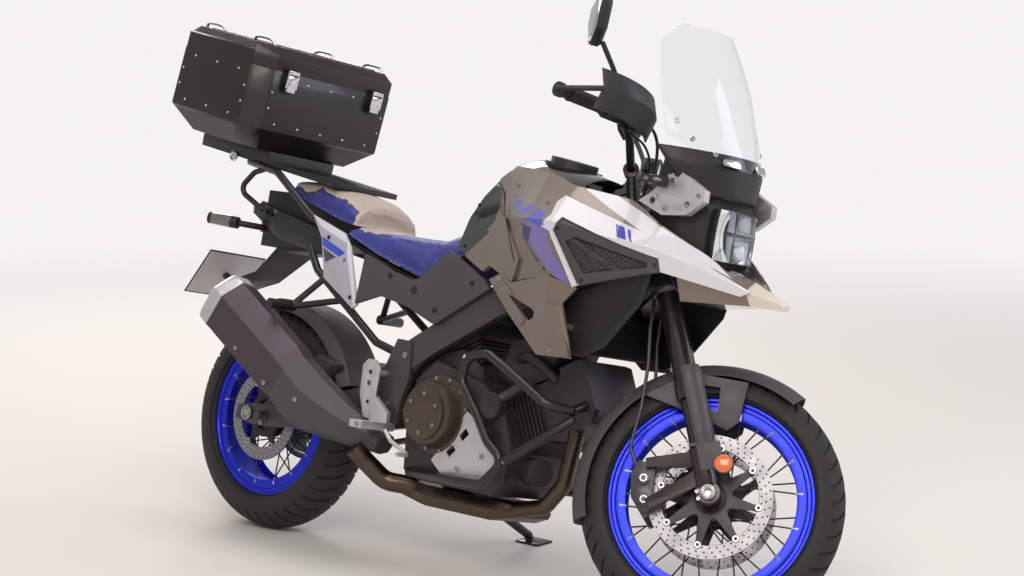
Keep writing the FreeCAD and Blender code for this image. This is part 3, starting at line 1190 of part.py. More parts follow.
def build_tail():
    """Rack, grab rails, rear light, mudguard with its blank plate, and rear signals."""
    r = size("rail_radius")
    grab = [V(176, -124, 872), V(130, -146, 905), V(-34, -146, 1012), V(-190, -116, 1036)]
    rail = tube(grab, r, 40)
    strut = tube([V(-100, -118, 900), V(-190, -142, 950), V(-140, -138, 1004), V(-80, -118, 1030)], 8, 24)
    slab = Part.makeBox(590, 256, 16, V(-150, -128, -42.3))
    base = Part.makeBox(300, 260, 26, V(-150, -130, -size("seat_gap") - 26))
    top = fused([slab, base])
    top.Placement = case_frame()
    feature("rear_rack", seated(fused([top, rail, mirrored(rail), strut, mirrored(strut)]),
                                piece("subframe")), "chassis")
    guard = loft([polygon([V(x, -w, z), V(x, w, z), V(x + dx, w, z + dz), V(x + dx, -w, z + dz)])
                  for x, z, dx, dz, w in ((60, 800, 10, 24, 74), (-60, 790, 14, 34, 70),
                                          (-180, 700, 30, 24, 62), (-300, 660, 26, 20, 60))], True)
    tray = side_plate(((300, 883.7), (230, 895.7), (120, 925.7), (-20, 961.7), (-118, 961.7), (-120, 800),
                       (60, 810), (300, 850)), -88, 88)
    stem = rod(V(-280, 0, 672), V(-352, 0, 700), 10)
    plate = Part.makeBox(2, 220, 160, V(-1, -110, -80))
    plate.rotate(V(0, 0, 0), V(0, 1, 0), -34 + 68)
    plate.translate(V(-352, 0, 700))
    tail = seated(fused([guard, tray, stem, plate]), piece("subframe"), piece("pillion_seat"),
                  piece("rider_seat"), piece("rear_rack"))
    feature("rear_mudguard", tail, "chassis")
    light = Part.makeBox(26, 150, 46, V(-146, -75, 838))
    feature("tail_light", seated(light, tail), "chassis")
    rear_signal = fused([rod(V(-98, -66, 850), V(-150, -160, 852), 9),
                         rod(V(-150, -160, 852), V(-236, -196, 856), 17)])
    front_signal = fused([
        rod(V(1392, -90, 1086), V(1378, -162, 1090), 10),
        loft([polygon([V(1378 + a, -y, 1092 + b) for a, b in ((-s, -s * 0.6), (s, -s * 0.6), (s, s * 0.6),
                                                              (-s, s * 0.6))])
              for y, s in ((158, 20), (170, 24), (222, 15))], True),
    ])
    rear_signal = seated(rear_signal, tail, piece("subframe"))
    front_signal = seated(front_signal, piece("headlight_housing"), piece("screen_brackets"),
                          piece("side_cowls"), piece("tank_covers"))
    lamps = [max(shape.Solids, key=lambda solid: solid.Volume) for shape in (rear_signal, front_signal)]
    feature("turn_signals", Part.makeCompound(lamps + [mirrored(lamp) for lamp in lamps]), "chassis")
    inner = size("rear_tyre_radius") + 12
    section = [V(0, -82, inner - 30), V(0, -62, inner), V(0, 62, inner), V(0, 82, inner - 30),
               V(0, 86, inner - 28), V(0, 64, inner + 4), V(0, -64, inner + 4), V(0, -86, inner - 28)]
    hugger = Part.Face(polygon(section)).revolve(V(0, 0, 0), V(0, 1, 0), 74)
    hugger.rotate(V(0, 0, 0), V(0, 1, 0), -6)
    hugger.translate(REAR_AXLE)
    strut = side_plate(((130, 420), (240, 520), (300, 500), (200, 400)), -size("arm_inner") - 20, -84)
    side = fused([strut, mirrored(strut), hugger])
    feature("rear_hugger", seated(side, piece("swingarm"), piece("rear_caliper"), piece("chain")), "chassis")


HINGE_Y = 150  # each lid hinge beside the middle


def case_frame():
    """Placement of the top case: its underside's middle, nose down."""
    return FreeCAD.Placement(V(size("case_x"), 0, size("case_z")),
                             FreeCAD.Rotation(V(0, 1, 0), size("case_tilt")))


def octagon(length, width, corner, z):
    """Flat rectangle with cut corners, centred on the case."""
    a, b, c = length / 2, width / 2, corner
    return polygon([V(a, -b + c, z), V(a, b - c, z), V(a - c, b, z), V(c - a, b, z),
                    V(-a, b - c, z), V(-a, c - b, z), V(c - a, -b, z), V(a - c, -b, z)])


def build_case():
    """Aluminium top case: hollow body with a drawn-in foot, hinged lid, latches and base plate."""
    length, width, corner = size("case_length"), size("case_width"), size("case_corner")
    body_height, lid_height, wall = size("case_body_height"), size("case_lid_height"), size("case_wall")
    frame = case_frame()
    foot = 60
    outer = loft([octagon(length - 110, width - 110, corner, 0), octagon(length, width, corner, foot),
                  octagon(length, width, corner, body_height)], True)
    inner = loft([octagon(length - 110 - 2 * wall, width - 110 - 2 * wall, corner - 2, wall),
                  octagon(length - 2 * wall, width - 2 * wall, corner - 2, foot),
                  octagon(length - 2 * wall, width - 2 * wall, corner - 2, body_height + 5)], True)
    body = outer.cut(inner)
    low = body_height + size("seat_gap")
    rim_top = low + lid_height
    shell = loft([octagon(length, width, corner, low), octagon(length, width, corner, rim_top - 24),
                  octagon(length - 40, width - 40, corner, rim_top)], True)
    hollow = loft([octagon(length - 2 * wall, width - 2 * wall, corner - 2, low - 5),
                   octagon(length - 2 * wall, width - 2 * wall, corner - 2, rim_top - 24 - wall),
                   octagon(length - 40 - 2 * wall, width - 40 - 2 * wall, corner - 2, rim_top - wall)], True)
    hinge_x = -length / 2 - size("hinge_back")
    knuckle, pin = size("hinge_knuckle"), size("hinge_pin")
    lid_barrels, body_barrels = [], []
    for y in (-HINGE_Y, HINGE_Y):
        barrel = Part.makeCylinder(knuckle, 40, V(hinge_x, y - 20, body_height), V(0, 1, 0))
        leaf = Part.makeBox(size("hinge_back") + 1, 40, knuckle - 1, V(hinge_x, y - 20, body_height + 1))
        bore = Part.makeCylinder(pin + size("pin_clearance"), 44, V(hinge_x, y - 22, body_height), V(0, 1, 0))
        lid_barrels.append(barrel.fuse(leaf).cut(bore))
        body_barrels.append(Part.makeCylinder(pin, 70, V(hinge_x, y - 35, body_height), V(0, 1, 0)))
        for side in (-1, 1):
            start = y + side * 20.5 - (14 if side < 0 else 0)
            body_barrels.append(Part.makeCylinder(knuckle, 14, V(hinge_x, start, body_height), V(0, 1, 0)))
            body_barrels.append(Part.makeBox(size("hinge_back") + 1, 14, knuckle - 1,
                                             V(hinge_x, start, body_height - knuckle)))
    lid = fused([shell.cut(hollow)] + lid_barrels)
    body = fused([body] + body_barrels)
    lid.Placement = frame
    feature("case_lid", lid, "case_lid")
    latches = []
    for y in (-170, 170):
        latches.append(Part.makeBox(14, 40, 60, V(length / 2 + 0.3, y - 20, body_height - 50)))
    body = Part.makeCompound([body] + latches)
    body.Placement = frame
    feature("case_body", body, "chassis")


def build_guards():
    """Crash bars, skid plate with its side wings, pegs, pedals and the heel plates."""
    r = size("guard_bar_radius")
    y = -size("guard_bar_y")
    inner = -size("engine_half") - 12
    hoop = [V(1203, inner, 492), V(1162, y + 20, 500), V(1031, y, 571), V(960, y, 602), V(890, y, 584),
            V(884, y, 520),
            V(962, y, 436), V(1007, y, 379), V(1068, y + 4, 338), V(1000, y + 8, 268), V(907, y + 20, 262),
            V(672, inner, 256)]
    bar = tube(hoop, r, 44)
    branch = rod(V(1068, y + 4, 338), V(1213, inner, 472), r)
    # columns: points of the tubes that carry the bar
    mounts = [rod(V(672, inner, 256), V(672, 40 - size("engine_half"), 262), r),
              rod(V(1203, inner, 492), V(1190, -60, 520), r), rod(V(890, y, 584), V(850, -120, 600), r)]
    side = seated(fused([bar, branch] + mounts), piece("engine"), piece("frame"), piece("radiator"))
    feature("crash_bars", both_sides(side), "chassis")
    wing = plate_body("skid_wing", ((772, 301), (873, 444), (938, 408), (997, 331), (953, 262), (825, 262)),
                      cell("panel_wall"))
    wing.Placement = FreeCAD.Placement(V(0, -176, 0), FreeCAD.Rotation())
    DOC.recompute()
    clutch = Part.makeCylinder(size("clutch_radius") + 13, 90,
                               V(size("clutch_x") + 12, -230, size("clutch_z")), V(0, 1, 0))
    alternator = Part.makeCylinder(95, 90, V(840, 140, 395), V(0, 1, 0))
    wing_pins = [rod(V(x, -178, z), V(x, -size("engine_half"), z), 9) for x, z in ((870, 288), (955, 340))]
    windows = [side_plate(((x, z), (x + 20, z + 22), (x + 34, z + 8), (x + 14, z - 14)), -190, -170)
               for x, z in ((858, 378), (820, 330))]
    wing_side = fused([wing.Shape.cut(windows)] + wing_pins)
    bars = piece("crash_bars")
    wings = [seated(wing_side, clutch, bars), seated(mirrored(wing_side), alternator, bars)]
    wings = [max(wing_shape.Solids, key=lambda solid: solid.Volume) for wing_shape in wings]
    feature("engine_guards", Part.makeCompound(wings), "chassis")
    heel = plate_body("heel_plate", ((481, 517), (498, 534), (528, 534), (548, 515), (546, 440), (536, 375),
                                     (510, 378), (484, 440)), 4,
                      holes=((513, 500, 7), (513, 470, 7), (518, 420, 6)))
    heel.Placement = FreeCAD.Placement(V(0, -190, 0), FreeCAD.Rotation())
    DOC.recompute()
    arm = rod(V(536, -150, 500), V(536, -196, 500), 9)
    hanger = side_plate(((545, 440), (600, 400), (606, 350), (560, 350), (530, 380)), -196, -182)
    peg = Part.makeBox(46, 96, 20, V(560, -290, 352))
    stub = rod(V(583, -150, 362), V(583, -200, 362), 12)
    pedal = tube([V(584, -190, 366), V(640, -206, 330), V(724, -218, 302), V(724, -262, 302)], 6, 14)
    peg_side = seated(fused([heel.Shape, arm, hanger, peg, stub, pedal]), piece("frame"), piece("swingarm"),
                      piece("engine"))
    feature("rider_pegs", both_sides(max(peg_side.Solids, key=lambda solid: solid.Volume)), "chassis")


def build_stand():
    """Side stand: pivot lug, leg and foot plate, drawn deployed; the foot lies on the floor."""
    pivot = V(size("stand_pivot_x"), size("stand_pivot_y"), size("stand_pivot_z"))
    park = park_placement()
    foot_up = pivot + V(size("stand_reach_x"), size("stand_reach_y"), 0)
    # straight down the machine's own Z from there to the floor
    world = park.multVec(foot_up)
    down = park.Rotation.multVec(V(0, 0, -1))
    foot = foot_up + V(0, 0, -1) * (world.z / -down.z)
    up = park.Rotation.inverted().multVec(V(0, 0, 1))
    forward = V(1, 0, 0)
    ankle = foot + up * (6 + size("stand_leg_radius"))
    leg = rod(pivot, ankle, size("stand_leg_radius"))
    pad = Part.makeBox(84, 62, 6, V(-30, -26, 0))
    pad.Placement = FreeCAD.Placement(foot, park.Rotation.inverted())
    toe = rod(ankle, foot + up * 4, size("stand_leg_radius"))
    lug = rod(pivot - stand_axis() * 14, pivot + stand_axis() * 14, 19)
    feature("side_stand", fused([leg, toe, pad, lug]), "side_stand")


def stand_axis():
    """Axis that the side stand turns about, square to its leg and leaning outwards."""
    reach = V(0, size("stand_reach_y"), -137).normalize()
    return V(1, 0, 0).cross(reach)


# the parked machine

def lean_turn(pitch):
    """Rotation of the parked machine for a pitch in radians."""
    return FreeCAD.Rotation(V(0, 1, 0), math.degrees(pitch)) * FreeCAD.Rotation(V(1, 0, 0), -size("lean"))


def steer_placement():
    """The bars on their left stop, in the upright machine."""
    turn = FreeCAD.Rotation(STEER_AXIS, size("lock"))
    return FreeCAD.Placement(STEER_FOOT - turn.multVec(STEER_FOOT), turn)


def axle_height(way, prefix):
    """Height of an axle above the floor, for a tyre of round crown whose axle points along way."""
    crown = size(f"{prefix}_tyre_half")
    return (size(f"{prefix}_tyre_radius") - crown) * math.sqrt(1 - way.z ** 2) + crown


def park_placement():
    """Placement that puts both tyres on the floor with the machine leaning and the bars turned."""
    steer = steer_placement()
    turned_axle = steer.multVec(FRONT_AXLE)
    turned_way = steer.Rotation.multVec(V(0, 1, 0))
    low, high = -0.15, 0.15
    for _ in range(60):
        pitch = (low + high) / 2
        turn = lean_turn(pitch)
        rear_gap = axle_height(turn.multVec(V(0, 1, 0)), "rear") - turn.multVec(REAR_AXLE).z
        front_gap = axle_height(turn.multVec(turned_way), "front") - turn.multVec(turned_axle).z
        if rear_gap > front_gap:
            low = pitch
        else:
            high = pitch
    return FreeCAD.Placement(V(0, 0, rear_gap), turn)


def check_objects():
    """Stops the build on a failed object or a bad shape."""
    DOC.recompute()
    for obj in DOC.Objects:
        if "Invalid" in obj.State or "Error" in obj.State:
            raise RuntimeError(f"{obj.Name} failed: {obj.State}")
    for node, obj, _, _ in PIECES:
        shape = obj.Shape
        if shape.isNull() or not shape.isValid() or not shape.Solids:
            raise RuntimeError(f"{node} has no valid solid")


def place_and_export():
    """Parks every piece, moves the origin under the machine's middle, and writes the files."""
    park = park_placement()
    steer = park * steer_placement()
    frames = {"steering": steer, "front_wheel": steer}
    for _, obj, body, local in PIECES:
        obj.Placement = frames.get(body, park) * local * obj.Placement
    low, high = V(1e9, 1e9, 1e9), V(-1e9, -1e9, -1e9)
    for _, obj, _, _ in PIECES:
        for point in obj.Shape.tessellate(1.0)[0]:
            low = V(min(low.x, point.x), min(low.y, point.y), min(low.z, point.z))
            high = V(max(high.x, point.x), max(high.y, point.y), max(high.z, point.z))
    shift = FreeCAD.Placement(V(-(low.x + high.x) / 2, -(low.y + high.y) / 2, 0), FreeCAD.Rotation())
    os.makedirs("parts", exist_ok=True)
    for node, obj, _, _ in PIECES:
        obj.Placement = shift * obj.Placement
        obj.Shape.exportStep(f"parts/{node}.step")
    return shift, park, steer, low, high


def report(shift, park, steer, low, high):
    """Prints the joints and mounts in the packed frame, for the record."""
    chassis = shift * park
    front = shift * steer
    size_text = " ".join(f"{v:.1f}" for v in (high - low))
    print("overall", size_text, "floor", round(low.z, 3))
    spool_y = size("arm_inner") + size("arm_width") + SPOOL_BASE + size("spool_length") / 2
    peg_y = size("peg_base_y") + size("peg_length") / 2
    rows = (
        ("steering", chassis, STEER_FOOT + STEER_AXIS * 900, STEER_AXIS),
        ("front_axle", front, FRONT_AXLE, V(0, 1, 0)),
        ("rear_axle", chassis, REAR_AXLE, V(0, 1, 0)),
        ("stand", chassis, V(size("stand_pivot_x"), size("stand_pivot_y"), size("stand_pivot_z")),
         stand_axis()),
        ("lid", chassis, lid_hinge(), V(0, 1, 0)),
        ("spool_right", chassis, V(size("spool_x"), -spool_y, size("spool_z")), V(0, -1, 0)),
        ("spool_left", chassis, V(size("spool_x"), spool_y, size("spool_z")), V(0, 1, 0)),
        ("peg_right", chassis, V(size("peg_x"), -peg_y, size("peg_z")), V(0, -1, 0)),
        ("peg_left", chassis, V(size("peg_x"), peg_y, size("peg_z")), V(0, 1, 0)),
    )
    for name, frame, point, way in rows:
        p, w = frame.multVec(point), frame.Rotation.multVec(way)
        print("row", name, f"{p.x:.4f} {p.y:.4f} {p.z:.4f} {w.x:.7f} {w.y:.7f} {w.z:.7f}")
    for name, centre, half in (
        ("case_left", case_frame().multVec(V(0, 150, 150)), V(115, 75, 72)),
        ("case_middle", case_frame().multVec(V(0, 0, 150)), V(115, 75, 72)),
        ("case_right", case_frame().multVec(V(0, -150, 150)), V(115, 75, 72)),
        ("frame_middle", V(890, 0, 735), V(80, 90, 55)),
    ):
        p = chassis.multVec(centre)
        low_corner, high_corner = p - half, p + half
        print("row", "box_" + name, *(f"{v:.3f}" for v in (*low_corner, *high_corner)))
    for node, obj, body, _ in PIECES:
        print("node", node, body, len(obj.Shape.Solids), round(obj.Shape.Volume / 1e6, 3))


def lid_hinge():
    """The lid's hinge line, along the case's rear edge."""
    point = V(-size("case_length") / 2 - size("hinge_back"), 0, size("case_body_height"))
    return case_frame().multVec(point)


build_wheels()
build_fork()
build_front_fender()
build_bars()
build_frame()
build_subframe()
build_swingarm()
build_engine()
build_muffler()
build_body_panels()
build_seats()
build_case()
build_tail()
build_guards()
build_stand()
check_objects()
report(*place_and_export())
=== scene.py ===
"""Looks of a large adventure motorcycle with wire wheels and a top case, parked on its side stand."""

import json
import logging
import math
from collections.abc import Iterator, Sequence
from dataclasses import dataclass
from enum import Enum

import bmesh
import bpy
from mathutils import Matrix, Vector
from mathutils.bvhtree import BVHTree


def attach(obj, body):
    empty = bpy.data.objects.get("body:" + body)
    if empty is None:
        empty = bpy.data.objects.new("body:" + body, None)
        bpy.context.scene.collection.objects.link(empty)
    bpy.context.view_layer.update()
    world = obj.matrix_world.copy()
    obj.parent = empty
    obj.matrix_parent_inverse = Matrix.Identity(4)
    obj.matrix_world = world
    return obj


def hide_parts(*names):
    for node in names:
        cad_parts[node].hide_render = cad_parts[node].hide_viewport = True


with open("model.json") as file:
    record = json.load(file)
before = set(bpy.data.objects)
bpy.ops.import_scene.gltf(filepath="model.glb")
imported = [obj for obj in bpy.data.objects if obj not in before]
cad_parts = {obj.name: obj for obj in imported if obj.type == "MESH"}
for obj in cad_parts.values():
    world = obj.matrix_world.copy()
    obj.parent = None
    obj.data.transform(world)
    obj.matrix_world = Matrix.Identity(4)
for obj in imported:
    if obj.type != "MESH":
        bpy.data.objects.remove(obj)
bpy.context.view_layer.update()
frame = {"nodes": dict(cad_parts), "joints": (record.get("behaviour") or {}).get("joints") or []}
LOG = logging.getLogger("motorcycle")
MM = 0.001
RAKE = math.radians(25.5)
REAR_AXLE_HEIGHT = 0.321
FRONT_TYRE_RADIUS = 0.329
SHARP_ANGLE = math.radians(32)
WHEELBASE = 1.555
CASE_FOOT = (-0.247, 0.0, 1.091)
CASE_TILT = math.radians(8)
Polygon = tuple[tuple[float, float], ...]
Number = bpy.types.NodeSocket | float


class Space(Enum):
    """The frame that a pattern is measured in."""

    MACHINE = "machine"
    FORK = "fork"
    REAR_WHEEL = "rear_wheel"
    FRONT_WHEEL = "front_wheel"


def joint_row(name: str) -> dict:
    """The record's row for a joint.

    Args:
        name: The joint's name.

    Returns:
        The joint's dictionary.
    """
    return next(row for row in frame["joints"] if row["name"] == name)


def frame_matrix(x_way: Vector, y_way: Vector, z_way: Vector, origin: Vector) -> Matrix:
    """A placement from three unit directions and an origin.

    Args:
        x_way: Where local X points.
        y_way: Where local Y points.
        z_way: Where local Z points.
        origin: Where the local origin lies.

    Returns:
        The 4 x 4 matrix.
    """
    turn = Matrix((x_way, y_way, z_way)).transposed()
    return Matrix.Translation(origin) @ turn.to_4x4()


def machine_matrix() -> Matrix:
    """The upright machine's frame: origin on the ground under the rear axle, X forward, Y left.

    Returns:
        Its placement in the parked machine.
    """
    steer = Vector(joint_row("steering")["axis"]).normalized()
    rear = joint_row("rear_wheel_spin")
    left = Vector(rear["axis"]).normalized()
    across = left.cross(steer)
    forward = math.cos(RAKE) * across - math.sin(RAKE) * steer
    upward = math.sin(RAKE) * across + math.cos(RAKE) * steer
    origin = Vector(rear["pos_m"]) - REAR_AXLE_HEIGHT * upward
    return frame_matrix(forward, left, upward, origin)


def fork_matrix() -> Matrix:
    """The turned fork's frame: origin at the front axle's middle, Z up along the legs, Y left.

    Returns:
        Its placement in the parked machine.
    """
    steer = Vector(joint_row("steering")["axis"]).normalized()
    axle = joint_row("front_wheel_spin")
    left = Vector(axle["axis"]).normalized()
    return frame_matrix(left.cross(steer), left, steer, Vector(axle["pos_m"]))


MACHINE = machine_matrix()
FORK = fork_matrix()
REAR_WHEEL = MACHINE @ Matrix.Translation((0, 0, REAR_AXLE_HEIGHT))
FRONT_WHEEL = FORK @ Matrix.Rotation(-RAKE, 4, "Y").inverted()
STEERED = FRONT_WHEEL @ Matrix.Translation((-WHEELBASE, 0, -FRONT_TYRE_RADIUS))
CASE = MACHINE @ Matrix.Translation(CASE_FOOT) @ Matrix.Rotation(CASE_TILT, 4, "Y")
SPACES = {Space.MACHINE: MACHINE, Space.FORK: FORK, Space.REAR_WHEEL: REAR_WHEEL, Space.FRONT_WHEEL: FRONT_WHEEL}


def linear(colour: str) -> tuple[float, float, float, float]:
    """Linear colour of an sRGB hex value.

    Args:
        colour: Six hex digits after a hash sign.

    Returns:
        Red, green, blue and alpha, linear.
    """
    parts = [int(colour[i:i + 2], 16) / 255 for i in (1, 3, 5)]
    return (*[p / 12.92 if p <= 0.04045 else ((p + 0.055) / 1.055) ** 2.4 for p in parts], 1.0)


def add_node(tree: bpy.types.NodeTree, kind: str, settings: dict | None = None,
             inputs: dict | None = None) -> bpy.types.Node:
    """Adds one node with its settings and links.

    Args:
        tree: The node tree.
        kind: The node's class name.
        settings: Properties to set on the node.
        inputs: Socket name or number to a value, or to the output that feeds it.

    Returns:
        The new node.
    """
    node = tree.nodes.new(kind)
    for key, value in (settings or {}).items():
        setattr(node, key, value)
    for key, value in (inputs or {}).items():
        if isinstance(value, bpy.types.NodeSocket):
            tree.links.new(value, node.inputs[key])
        else:
            node.inputs[key].default_value = value
    return node


def place_socket(tree: bpy.types.NodeTree, space: Space) -> bpy.types.NodeSocket:
    """Object coordinates turned into one of the machine's own frames.

    Args:
        tree: The node tree.
        space: The frame to measure in.

    Returns:
        The vector output, in metres.
    """
    matrix = SPACES[space]
    where = add_node(tree, "ShaderNodeTexCoord").outputs["Object"]
    turned = add_node(tree, "ShaderNodeMapping", {"vector_type": "TEXTURE"},
                      {"Vector": where, "Location": matrix.translation, "Rotation": matrix.to_euler()})
    return turned.outputs["Vector"]


@dataclass(frozen=True)
class Finish:
    """One surface finish, from what the real surface is and how it was made.

    The colour drifts between two tones over patches, the roughness varies with them, and a grain in
    real millimetres gives the bump.
    """

    name: str
    colour: str
    shade: str
    roughness: float
    metallic: float = 0.0
    rough_spread: float = 0.08
    patch_mm: float = 60.0
    grain_mm: float = 1.2
    grain_depth_mm: float = 0.0
    coat: float = 0.0
    sheen: float = 0.0

    def build(self, space: Space = Space.MACHINE) -> bpy.types.Material:
        """Makes the material, once for each space.

        Args:
            space: The frame that its patterns are measured in.

        Returns:
            The material.
        """
        label = f"{self.name}_{space.value}"
        if label in bpy.data.materials:
            return bpy.data.materials[label]
        material = bpy.data.materials.new(label)
        material.use_nodes = True
        tree = material.node_tree
        shader = tree.nodes["Principled BSDF"]
        place = place_socket(tree, space)
        patches = add_node(tree, "ShaderNodeTexNoise", {}, {
            "Vector": place, "Scale": 1 / (self.patch_mm * MM), "Detail": 5.0, "Roughness": 0.6})
        tone = add_node(tree, "ShaderNodeMix", {"data_type": "RGBA"}, {
            "Factor": patches.outputs["Fac"], 6: linear(self.shade), 7: linear(self.colour)})
        tree.links.new(self.paint(tree, place, tone.outputs[2]), shader.inputs["Base Color"])
        rough = add_node(tree, "ShaderNodeMapRange", {}, {
            "Value": patches.outputs["Fac"], "From Min": 0.3, "From Max": 0.7,
            "To Min": max(0.02, self.roughness - self.rough_spread),
            "To Max": min(1.0, self.roughness + self.rough_spread)})
        tree.links.new(rough.outputs["Result"], shader.inputs["Roughness"])
        shader.inputs["Metallic"].default_value = self.metallic
        shader.inputs["Coat Weight"].default_value = self.coat
        shader.inputs["Coat Roughness"].default_value = 0.04
        shader.inputs["Sheen Weight"].default_value = self.sheen
        self.relief(tree, place, shader)
        return material

    def paint(self, tree: bpy.types.NodeTree, place: bpy.types.NodeSocket,
              base: bpy.types.NodeSocket) -> bpy.types.NodeSocket:
        """Colour that reaches the shader, which a patterned finish overrides.

        Args:
            tree: The node tree.
            place: The place in the pattern's frame.
            base: The plain colour.

        Returns:
            The colour output.
        """
        return base

    def relief(self, tree: bpy.types.NodeTree, place: bpy.types.NodeSocket,
               shader: bpy.types.Node) -> None:
        """Bump of the grain.

        Args:
            tree: The node tree.
            place: The place in the pattern's frame.
            shader: The shader that takes the normal.
        """
        if not self.grain_depth_mm:
            return
        grain = add_node(tree, "ShaderNodeTexNoise", {}, {
            "Vector": place, "Scale": 1 / (self.grain_mm * MM), "Detail": 2.0})
        bump = add_node(tree, "ShaderNodeBump", {}, {
            "Height": grain.outputs["Fac"], "Distance": self.grain_depth_mm * MM, "Strength": 1.0})
        tree.links.new(bump.outputs["Normal"], shader.inputs["Normal"])


def inside(tree: bpy.types.NodeTree, across: bpy.types.NodeSocket, polygon: Polygon) -> bpy.types.NodeSocket:
    """Mask that is 1 inside a convex polygon of the pattern's (x, z) plane.

    Args:
        tree: The node tree.
        across: The place in the pattern's frame.
        polygon: Corners (x, z) in millimetres, going round.

    Returns:
        The mask output.
    """
    middle = Vector((sum(x for x, _ in polygon), sum(z for _, z in polygon))) / len(polygon)
    mask = None
    for index, start in enumerate(polygon):
        a, b = Vector(start), Vector(polygon[(index + 1) % len(polygon)])
        normal = Vector((a.y - b.y, b.x - a.x)).normalized()
        if normal.dot(middle - a) < 0:
            normal.negate()
        dot = add_node(tree, "ShaderNodeVectorMath", {"operation": "DOT_PRODUCT"}, {
            0: across, 1: Vector((normal.x, 0.0, normal.y))})
        side = add_node(tree, "ShaderNodeMath", {"operation": "GREATER_THAN"}, {
            0: dot.outputs["Value"], 1: normal.dot(a) * MM}).outputs[0]
        mask = side if mask is None else add_node(
            tree, "ShaderNodeMath", {"operation": "MULTIPLY"}, {0: mask, 1: side}).outputs[0]
    return mask


def blend(tree: bpy.types.NodeTree, mask: bpy.types.NodeSocket, below: bpy.types.NodeSocket | tuple,
          above: bpy.types.NodeSocket | tuple) -> bpy.types.NodeSocket:
    """Two colours mixed by a mask.

    Args:
        tree: The node tree.
        mask: 0 shows the lower colour, 1 the upper.
        below: The lower colour.
        above: The upper colour.

    Returns:
        The mixed colour.
    """
    return add_node(tree, "ShaderNodeMix", {"data_type": "RGBA"}, {"Factor": mask, 6: below, 7: above}).outputs[2]


def arithmetic(tree: bpy.types.NodeTree, operation: str, first: Number, second: Number = 0.0) -> bpy.types.NodeSocket:
    """One arithmetic step of a pattern.

    Args:
        tree: The node tree.
        operation: The operation's name.
        first: The first number or output.
        second: The second number or output.

    Returns:
        The result.
    """
    return add_node(tree, "ShaderNodeMath", {"operation": operation}, {0: first, 1: second}).outputs[0]


@dataclass(frozen=True)
class Layer:
    """One colour field of a painted panel: a colour inside convex outlines."""

    colour: str
    outlines: tuple[Polygon, ...]
    metallic: float = 0.0


@dataclass(frozen=True)
class PaintedPanel(Finish):
    """Lacquer over decals: colour fields laid one on another."""

    layers: tuple[Layer, ...] = ()

    def paint(self, tree: bpy.types.NodeTree, place: bpy.types.NodeSocket,
              base: bpy.types.NodeSocket) -> bpy.types.NodeSocket:
        """Lays the colour fields on the base coat.

        Args:
            tree: The node tree.
            place: The place in the pattern's frame.
            base: The base coat.

        Returns:
            The colour output.
        """
        colour = base
        shine = None
        for layer in self.layers:
            mask = None
            for outline in layer.outlines:
                field_mask = inside(tree, place, outline)
                mask = field_mask if mask is None else arithmetic(tree, "MAXIMUM", mask, field_mask)
            colour = blend(tree, mask, colour, linear(layer.colour))
            shine = add_node(tree, "ShaderNodeMix", {"data_type": "FLOAT"}, {
                "Factor": mask, 2: self.metallic if shine is None else shine, 3: layer.metallic}).outputs[0]
        if shine is not None:
            tree.links.new(shine, tree.nodes["Principled BSDF"].inputs["Metallic"])
        return colour


@dataclass(frozen=True)
class SeatVinyl(Finish):
    """Seat cover in two colours of grained vinyl, with a sewn seam where they meet."""

    top: str = "#b7a89e"
    top_shade: str = "#a3948b"
    seam: str = "#2c2740"
    seam_mm: float = 2.4
    outlines: tuple[Polygon, ...] = ()

    def paint(self, tree: bpy.types.NodeTree, place: bpy.types.NodeSocket,
              base: bpy.types.NodeSocket) -> bpy.types.NodeSocket:
        """Paints the top panel inside its outline of (x, distance from the middle plane).

        Args:
            tree: The node tree.
            place: The place in the machine's frame.
            base: The side panels' colour.

        Returns:
            The colour output.
        """
        parts = add_node(tree, "ShaderNodeSeparateXYZ", {}, {"Vector": place}).outputs
        away = arithmetic(tree, "ABSOLUTE", parts["Y"])
        folded = add_node(tree, "ShaderNodeCombineXYZ", {}, {"X": parts["X"], "Z": away}).outputs["Vector"]
        weave = add_node(tree, "ShaderNodeTexNoise", {}, {"Vector": place, "Scale": 320.0, "Detail": 2.0})
        top = blend(tree, weave.outputs["Fac"], linear(self.top_shade), linear(self.top))
        colour = base
        for outline in self.outlines:
            grown = tuple((x, y + self.seam_mm if y > 0 else y) for x, y in outline)
            colour = blend(tree, inside(tree, folded, grown), colour, linear(self.seam))
        for outline in self.outlines:
            colour = blend(tree, inside(tree, folded, outline), colour, top)
        return colour


# Natural rubber with carbon black: matt, in two tones that drift over patches.
TYRE_RUBBER = Finish("tyre_rubber", "#2a2829", "#1d1c1d", 0.72, patch_mm=30, grain_mm=1.4, grain_depth_mm=0.25)
# Anodised aluminium rim, satin blue.
RIM_BLUE = Finish("anodised_blue_aluminium", "#2433d6", "#1d2ab8", 0.36, metallic=0.75, coat=0.1,
                  patch_mm=90, grain_mm=0.8, grain_depth_mm=0.02)
# Cast aluminium hub under satin black paint.
HUB_BLACK = Finish("satin_black_cast_aluminium", "#2b2b2e", "#222225", 0.42, metallic=0.3,
                   grain_mm=0.9, grain_depth_mm=0.05)
# Ground stainless disc: fine rings from the pads.
DISC_STEEL = Finish("ground_stainless_steel", "#9c9ba0", "#8a8990", 0.42, metallic=0.9,
                    grain_mm=0.5, grain_depth_mm=0.02)
# Anodised alloy: dark, with a soft metal gleam.
CARRIER = Finish("black_anodised_aluminium", "#3a383b", "#2c2b2e", 0.4, metallic=0.6,
                 grain_mm=0.6, grain_depth_mm=0.02)
